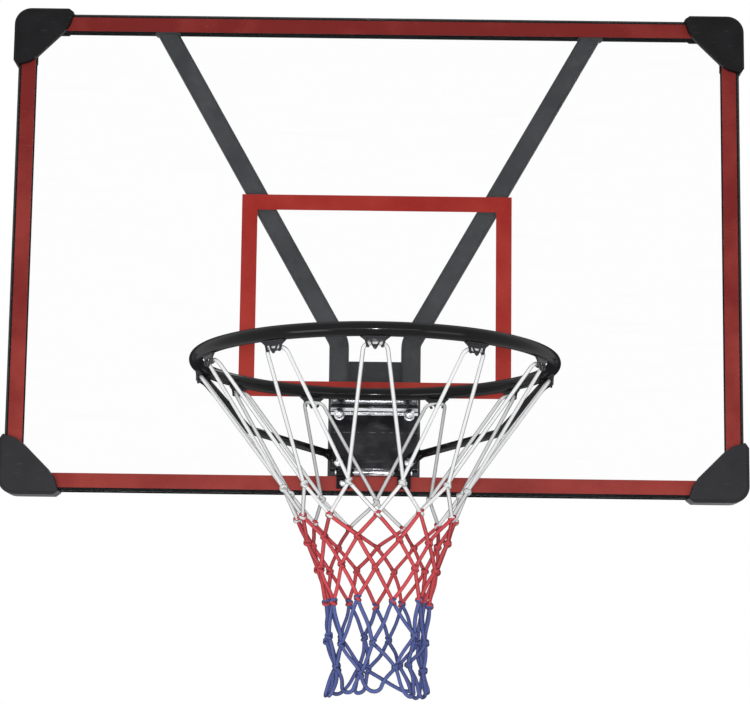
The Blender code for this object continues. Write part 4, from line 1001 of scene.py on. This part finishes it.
BOLTS = (                          # kind, diameter and pitch in mm, body
    ("spring", 8, 1.25, "board"),
    ("base", 6, 1.0, "board"),
    ("leg", 6, 1.0, "board"),
    ("strut", 8, 1.25, "rim"),
)
HEAD_SPREAD = 1.875                # the head's width over the shank's
HEAD_RISE = 0.7                    # the head's height over the shank's width
HEAD_EDGE = 0.15 * MM
DOME_TURN = 0.93                   # share of a quarter turn, before the head's upright edge
DOME_DEPTH = 0.97                  # share of the head's height where that edge ends
THREAD_RUN = 9 * MM
THREAD_CLEAR = 0.5 * MM            # least distance behind the head
THREAD_CUT = 0.6                   # depth over pitch
THREAD_ROWS = 64
THREAD_SIDES = 32
TIP_CHAMFER = (0.7 * MM, 0.6 * MM)          # inwards and along
NUT_ACROSS = 1.625                 # the nut's width across flats over the shank's
NUT_BORE_ROOM = 0.05 * MM
NUT_TURNED = (                     # radius over half the width across flats, distance from the nearer face
    (0.96, 0), (1.07, 0.5 * MM), (2 / math.sqrt(3), 1.1 * MM),
)
CLINCH_NUT = (                     # mm: radius, and distance behind the front face
    (4.05, 0), (6.2, 0), (6.5, 0.3), (6.5, 1.9), (6.2, 2.2), (4.05, 2.2), (4.05, 0),
)
WASHER_HOLE = 5.2 * MM
WASHER_EDGE = 0.3 * MM


def front_of(node):
    """The middle of the front face of a node's box, and the box's depth."""
    low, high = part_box(node)
    return ((low.x + high.x) / 2, low.y, (low.z + high.z) / 2), high.y - low.y


def bolt_grid(place, length, diameter, pitch):
    """Turned dome, flat under the head and shank; the shank's last stretch carries a helical thread whose
    radius swings with the distance along it and the angle round it."""
    head, rise, shank = diameter * HEAD_SPREAD / 2, diameter * HEAD_RISE, diameter / 2
    turn = np.linspace(0, math.pi / 2 * DOME_TURN, 10)
    dome = np.stack([head * np.sin(turn), rise - rise * np.cos(turn)], -1)
    edge = [(head, rise * DOME_DEPTH), (head - HEAD_EDGE, rise), (shank, rise)]
    start = max(length - THREAD_RUN, rise + THREAD_CLEAR)
    depth = np.linspace(start, length - TIP_CHAMFER[1], THREAD_ROWS)
    thread = np.stack([np.full(THREAD_ROWS, shank), depth], -1)
    tip = [(shank - TIP_CHAMFER[0], length), (0, length)]
    angle = np.linspace(0, 2 * math.pi, THREAD_SIDES, endpoint=False)
    swing = 1 - np.cos(2 * math.pi * depth[:, None] / pitch - angle)
    cut = THREAD_CUT / 2 * pitch * swing * np.clip((depth[:, None] - start) / pitch, 0, 1)
    most = np.concatenate([np.full((len(dome) + len(edge), THREAD_SIDES), np.inf), shank - cut,
                           np.full((len(tip), THREAD_SIDES), np.inf)])
    return turned(np.concatenate([dome, edge, thread, tip]), place, THREAD_SIDES, most)


def nut_grid(place, height, diameter):
    """Turned profile with a round bore, cut back to a hexagon, its corners turned down at both faces."""
    flat = diameter * NUT_ACROSS / 2
    bore = diameter / 2 + NUT_BORE_ROOM
    front = [(flat * share, depth) for share, depth in NUT_TURNED]
    rear = [(radius, height - depth) for radius, depth in front[::-1]]
    turn = np.linspace(0, 2 * math.pi, 48, endpoint=False)
    hexagon = flat / np.cos((turn + math.pi / 6) % (math.pi / 3) - math.pi / 6)
    return turned([(bore, 0), *front, *rear, (bore, height), (bore, 0)], place, 48, hexagon)


def washer_grid(node):
    """Turned flat ring, its four edges broken."""
    low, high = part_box(node)
    place, thick = front_of(node)
    hole, edge, broken = WASHER_HOLE, (high.x - low.x) / 2, WASHER_EDGE
    profile = [(hole, broken), (hole + broken, 0), (edge - broken, 0), (edge, broken), (edge, thick - broken),
               (edge - broken, thick), (hole + broken, thick), (hole, thick - broken), (hole, broken)]
    return turned(profile, place)


for kind, diameter, pitch, body in BOLTS:
    for name, _ in SIDES:
        node = f"{kind}_bolt_{name}"
        screw = mesh_of("bolt", [bolt_grid(*front_of(node), diameter * MM, pitch * MM)])
        piece(f"{kind}_screw_{name}", screw, zinc, body, "zinc", node, smooth=50)
        node = f"{kind}_nut_{name}"
        place, height = front_of(node)
        if kind == "strut":
            nut = turned(np.array(CLINCH_NUT) * MM, place)
        else:
            nut = nut_grid(place, height, diameter * MM)
        piece(f"{kind}_nut_{name}_turned", mesh_of("nut", [nut]), zinc, body, "zinc", node, smooth=25)
for name, _ in SIDES:
    node = "spring_washer_" + name
    piece("washer_" + name, mesh_of("washer", [washer_grid(node)]), zinc, "rim", "zinc", node, smooth=50)


# Springs
# Two zinc-plated compression springs of 1.8 mm wire between the washers and the heads of the upper bolts.
# Their end turns are closed.

SPRING_WIRE = 1.8 * MM
SPRING_MEAN = 12.6 * MM
SPRING_TURNS = 4
SPRING_GRID = (40, 12)             # points a turn and round the wire
SPRING_EASE = 0.11                 # how much slower the first and the last turn rise


def spring_grid(x, low, high):
    """Round wire carried along a helix, whose rise is slow in the first and the last turn."""
    share = np.linspace(0, 1, SPRING_GRID[0] * SPRING_TURNS + 1)
    turn = 2 * math.pi * SPRING_TURNS * share
    eased = share - SPRING_EASE * np.sin(2 * math.pi * share)
    radius = SPRING_MEAN / 2
    start, end = high.y - SPRING_WIRE / 2, low.y + SPRING_WIRE / 2
    path = np.stack([x + radius * np.cos(turn), start + (end - start) * eased,
                     SPRING_BOLT[1] + radius * np.sin(turn)], -1)
    return capped(carried(path, round_section(SPRING_WIRE / 2, SPRING_GRID[1]), (0, 1, 0)))


for name, side in SIDES:
    x = side * SPRING_BOLT[0]
    wire = mesh_of("coil", [spring_grid(x, *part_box("spring_" + name))])
    coil = piece("coil_" + name, wire, zinc, "board", "zinc", "spring_" + name, smooth=60)
    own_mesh(coil)


# Net
# Braided cord, 5 mm thick, in three colours, knotted into eleven meshes round: white from the hooks, then
# red, then blue to the loose lower edge. Each knot is two cords caught in each other and wrapped once.

CORD = 5 * MM
CORD_SIDES = 12
CORD_STEP = 1.1 * MM
STRANDS = 3
BRAID_PITCH = 5.2 * MM
BRAID_RISE = 0.09
BIGHT_HALF = 14 * MM               # half width of a bight where it lies over its hook
BIGHT_FOOT = 0.52                  # hooks from there to the knots where it ends
BIGHT_RADIUS = 229.95 * MM
BIGHT_HEIGHT = -16.6 * MM
BIGHT_BEND = 9 * MM
NET_ROWS = (                       # mm: depth of each row of knots under the ring, and the net's radius there
    (168, 121), (205, 105), (236, 90), (268, 80), (313, 69), (360, 65), (397, 55), (428, 67),
)
WHITE_TO_RED = 2
RED_TO_BLUE = 5
EVEN_ROW = 4                       # from here down the knots stand evenly round the net
STRAY = (1.0, 1.5, 3.0, 3.0, 3.0, 4.5, 5.0, 3.0)      # mm: how far the knots of each row stray, any way
STRAY_MOST = 1.4                   # times that
GATHER = {                         # mm: how far round the net the slack rows' knots have slid, from the left
    6: (4, 0, 0, 0, -11, -2, 15, 9, 0, -6, 0),
    7: (12, -4, 0, 0, -9, 3, 11, 13, 0, -4, -12),
    8: (4, 2, 0, 0, 0, 2, 12, 0, 0, -4, -22),
}
DRIFT = (3.5 * MM, 7 * MM)         # how far to the right the net hangs at its first and its last knots
WAVE = 1.5 * MM                    # how far the slack cords wander
WAVE_RATES = (130, 90)             # radians a metre
WAVE_STARTS = (0, 2, 4)            # radians
CROSSING = 0.4 * MM
TIGHT = (1.6 * MM, 0.7 * MM)       # bend of a cord in a knot, and how far it may stay short of the corner
LOOP_HALF = 6.5 * MM               # half width of a loop near its bottom
LOOP_ROUND = 0.98                  # how far the arcs of a loop's two corners reach to its middle
WRAP = (2.9 * MM, 3.4 * MM)        # half width and half depth of a turn round a knot
WRAP_CORD = 2.2 * MM
WRAP_GRID = (24, 10)               # points along a turn and round its cord
WRAP_TILT = 38                     # degrees
WRAP_APART = 0.9 * MM
YARNS = {                          # painted shade between the strands, and the yarn on them
    "white": ((0.68, 0.69, 0.70, 1), (0.95, 0.953, 0.957, 1)),
    "red": ((0.46, 0.050, 0.060, 1), (0.76, 0.115, 0.130, 1)),
    "blue": ((0.055, 0.073, 0.20, 1), (0.145, 0.180, 0.46, 1)),
}
CORD_TURN = (0.25, 0.6)            # where a cord's painted shade starts and ends: 0 is face on, 1 edge on
CORD_SHADE = (0.8, 0.3)            # painted shade: how far to its dark tone, and how much of that tone is left


def net_angle(position, row):
    """Angle of a knot: under the hooks at the top, evenly round the net further down."""
    half = HOOK_COUNT / 2
    hooks = HOOK_STEP * position
    if abs(position) > half - 0.25:          # the one knot at the rear, over the bracket
        hooks = math.copysign(180, position) + HOOK_STEP * (position - math.copysign(half, position))
    return hooks + (360 / HOOK_COUNT * position - hooks) * min(row / EVEN_ROW, 1)


strays = np.clip(np.random.default_rng(7).normal(size=(len(NET_ROWS), 2 * HOOK_COUNT, 3)),
                 -STRAY_MOST, STRAY_MOST)


def knot(row, position, shift=0.0):
    """A knot's place: its row's circle, moved round by the gathering, and strayed a little."""
    depth, radius = NET_ROWS[row - 1]
    around, out, rise = STRAY[row - 1] * strays[row - 1, round(2 * position) % (2 * HOOK_COUNT)]
    if row in GATHER:
        around += GATHER[row][round(position + HOOK_COUNT / 2 - (0 if row % 2 else 0.5)) % HOOK_COUNT]
    angle = net_angle(position, row) + math.degrees(around / radius)
    return ring_point(angle, (radius + out) * MM, (rise - depth) * MM + shift)


def positions(row):
    """A row's knots, counted in hooks from the front one: odd rows between hooks, even ones under them."""
    return [i - (HOOK_COUNT - 1) / 2 - row % 2 / 2 for i in range(HOOK_COUNT)]


def slack(points):
    """Points of the net, drifted to the right with depth, and below the first knots wandering by three slow
    waves, more so further down."""
    points = np.asarray(points, float)
    top, bottom = (NET_ROWS[row][0] * MM for row in (0, -1))
    share = np.clip((-points[..., 2] - top) / (bottom - top), 0, 1)[..., None]
    below = np.clip(-points[..., 2] / top, 0, 1)[..., None]
    drift = (DRIFT[0] * below + (DRIFT[1] - DRIFT[0]) * share) * (1, 0, 0)
    phase = points[..., (2, 0, 1)] * WAVE_RATES[0] + points[..., (1, 2, 0)] * WAVE_RATES[1] + WAVE_STARTS
    return points + drift + WAVE * share * np.sin(phase)


def zigzag(row, last):
    """Corners of a closed cord that runs down and up between this row of knots and the next, and their bends.
    The lower edge's loops hang free, with two corners each, and are as round as a drop."""
    corners = []
    for position in positions(row):
        corners.append(knot(row, position, -CROSSING))
        below = knot(row + 1, position + 0.5, 0 if last else CROSSING)
        angle = math.radians(net_angle(position + 0.5, row + 1))
        across = LOOP_HALF * np.array([math.cos(angle), math.sin(angle), 0])
        corners += [below - across, below + across] if last else [below]
    corners = np.array(corners)
    back, ahead = (np.roll(corners, shift, 0) - corners for shift in (1, -1))
    back, ahead = (way / np.linalg.norm(way, axis=1)[:, None] for way in (back, ahead))
    sharp = np.sqrt(np.clip((1 - (back * ahead).sum(1)) / 2, 1e-4, 0.99))       # sine of half the angle
    bends = np.minimum(TIGHT[0], TIGHT[1] / (1 / sharp - 1))
    if last:
        loop = np.arange(len(bends)) % 3 > 0
        bends[loop] = (LOOP_ROUND * LOOP_HALF * sharp / np.sqrt(1 - sharp ** 2))[loop]
    return corners, bends


def bight(index):
    """Corners of the cord from a knot of the top row, over a hook and down to the next knot."""
    centre = index - (HOOK_COUNT - 1) / 2
    spread = math.degrees(BIGHT_HALF / BIGHT_RADIUS)
    tops = [ring_point(HOOK_STEP * centre + side * spread, BIGHT_RADIUS, BIGHT_HEIGHT) for side in (-1, 1)]
    return [knot(1, centre - BIGHT_FOOT, CROSSING), *tops, knot(1, centre + BIGHT_FOOT, CROSSING)]


def cord_grid(corners, closed, bend):
    """Round section carried along the route, its radius raised where the strands of the braid cross over. The
    second axis of each section points out from the net's middle, and the UV map holds the run in metres."""
    route = arcs(corners, bend, 6, closed)
    if closed:
        route = np.concatenate([route, route[:1]])
    path, run = evenly(route, CORD_STEP)
    path = slack(path[:-1] if closed else path)
    out = path - (0, ring_y, 0)
    out[:, 2] = 0
    out /= np.linalg.norm(out, axis=1)[:, None]
    turn = np.linspace(0, 2 * math.pi, CORD_SIDES, endpoint=False)
    lay = 2 * math.pi * run[:len(path), None] / BRAID_PITCH
    rise = 1 + BRAID_RISE * np.cos(STRANDS * turn + lay) * np.cos(STRANDS * turn - lay)
    grid = carried(path, rise[..., None] * round_section(CORD / 2, CORD_SIDES), out, closed)
    if not closed:
        grid = capped(grid)
        run = np.concatenate([run[:1], run, run[-1:]])
    around = np.linspace(0, 1, CORD_SIDES + 1)
    return grid, np.stack(np.broadcast_arrays(run[:, None], around[None, :]), -1)


def wrap_grid(row, position, side):
    """A turn round a knot: an ellipse, tilted, with the cord's section carried round it."""
    centre = slack(knot(row, position, side * WRAP_APART))
    turn = np.linspace(0, 2 * math.pi, WRAP_GRID[0], endpoint=False)[:, None]
    angle = math.radians(net_angle(position, row))
    across = np.array([math.cos(angle), math.sin(angle), math.tan(math.radians(side * WRAP_TILT))])
    out = np.array([math.sin(angle), -math.cos(angle), 0])
    path = centre + WRAP[0] * np.cos(turn) * across + WRAP[1] * np.sin(turn) * out
    return carried(path, round_section(WRAP_CORD, WRAP_GRID[1]), (0, 0, 1), True)


def wraps(row, side):
    """The turns round a row's knots that lean to one side: the upper (1) or the lower (-1) of each two."""
    return [wrap_grid(row, position, side) for position in positions(row)]


def net_rows(first, last):
    """Cords between these rows of knots. A cord carries the upper turns of the knots it starts from and the
    lower turns of those it comes down to, because it is pulled through."""
    grids = []
    for row in range(first, last):
        at_edge = row + 1 == len(NET_ROWS)
        corners, bends = zigzag(row, at_edge)
        grids.append(cord_grid(corners, True, bends))
        grids += wraps(row, 1) + ([] if at_edge else wraps(row + 1, -1))
    return grids


def cord_look(name, dark, light):
    """Braided yarn: strands from two crossing waves on the UV map, with painted shade between them and where
    the cord turns away, and fine fuzz."""
    look, shader, place = new_look(name, roughness=0.85, specular=0.05, sheen=0.04)
    uv = place.node("UVMap", {"uv_map": "along"})
    run = uv.axis("X") * (2 * math.pi / BRAID_PITCH)
    turn = uv.axis("Y") * (2 * math.pi * STRANDS)
    weave = (turn + run).math("COSINE") * (turn - run).math("COSINE")
    fuzz = place.noise(900.0, 3.0)
    # painted shade: the dark tone between the strands
    tone = (0.55 + 0.35 * weave + 0.5 * (fuzz - 0.5)).clamped().tint(dark, light)
    shaded = (*(CORD_SHADE[1] * value for value in dark[:3]), 1)
    # painted shade where the cord turns away from the eye
    (CORD_SHADE[0] * place.slant().between(*CORD_TURN)).tint(tone, shaded).to(shader, "Base Color")
    (weave + 0.5 * fuzz).raises(shader, 0.5, 0.4 * MM)
    return look


white_cords = net_rows(1, WHITE_TO_RED) + wraps(1, -1)
white_cords += [cord_grid(bight(index), False, BIGHT_BEND) for index in range(HOOK_COUNT)]
for name, grids in (("white", white_cords),
                    ("red", net_rows(WHITE_TO_RED, RED_TO_BLUE)),
                    ("blue", net_rows(RED_TO_BLUE, len(NET_ROWS)))):
    cords = mesh_of(f"{name}_net", grids)
    yarn = cord_look(f"cord_{name}", *YARNS[name])
    piece(f"{name}_net", cords, yarn, "rim", f"cord_{name}", f"net_{name}", smooth=60)
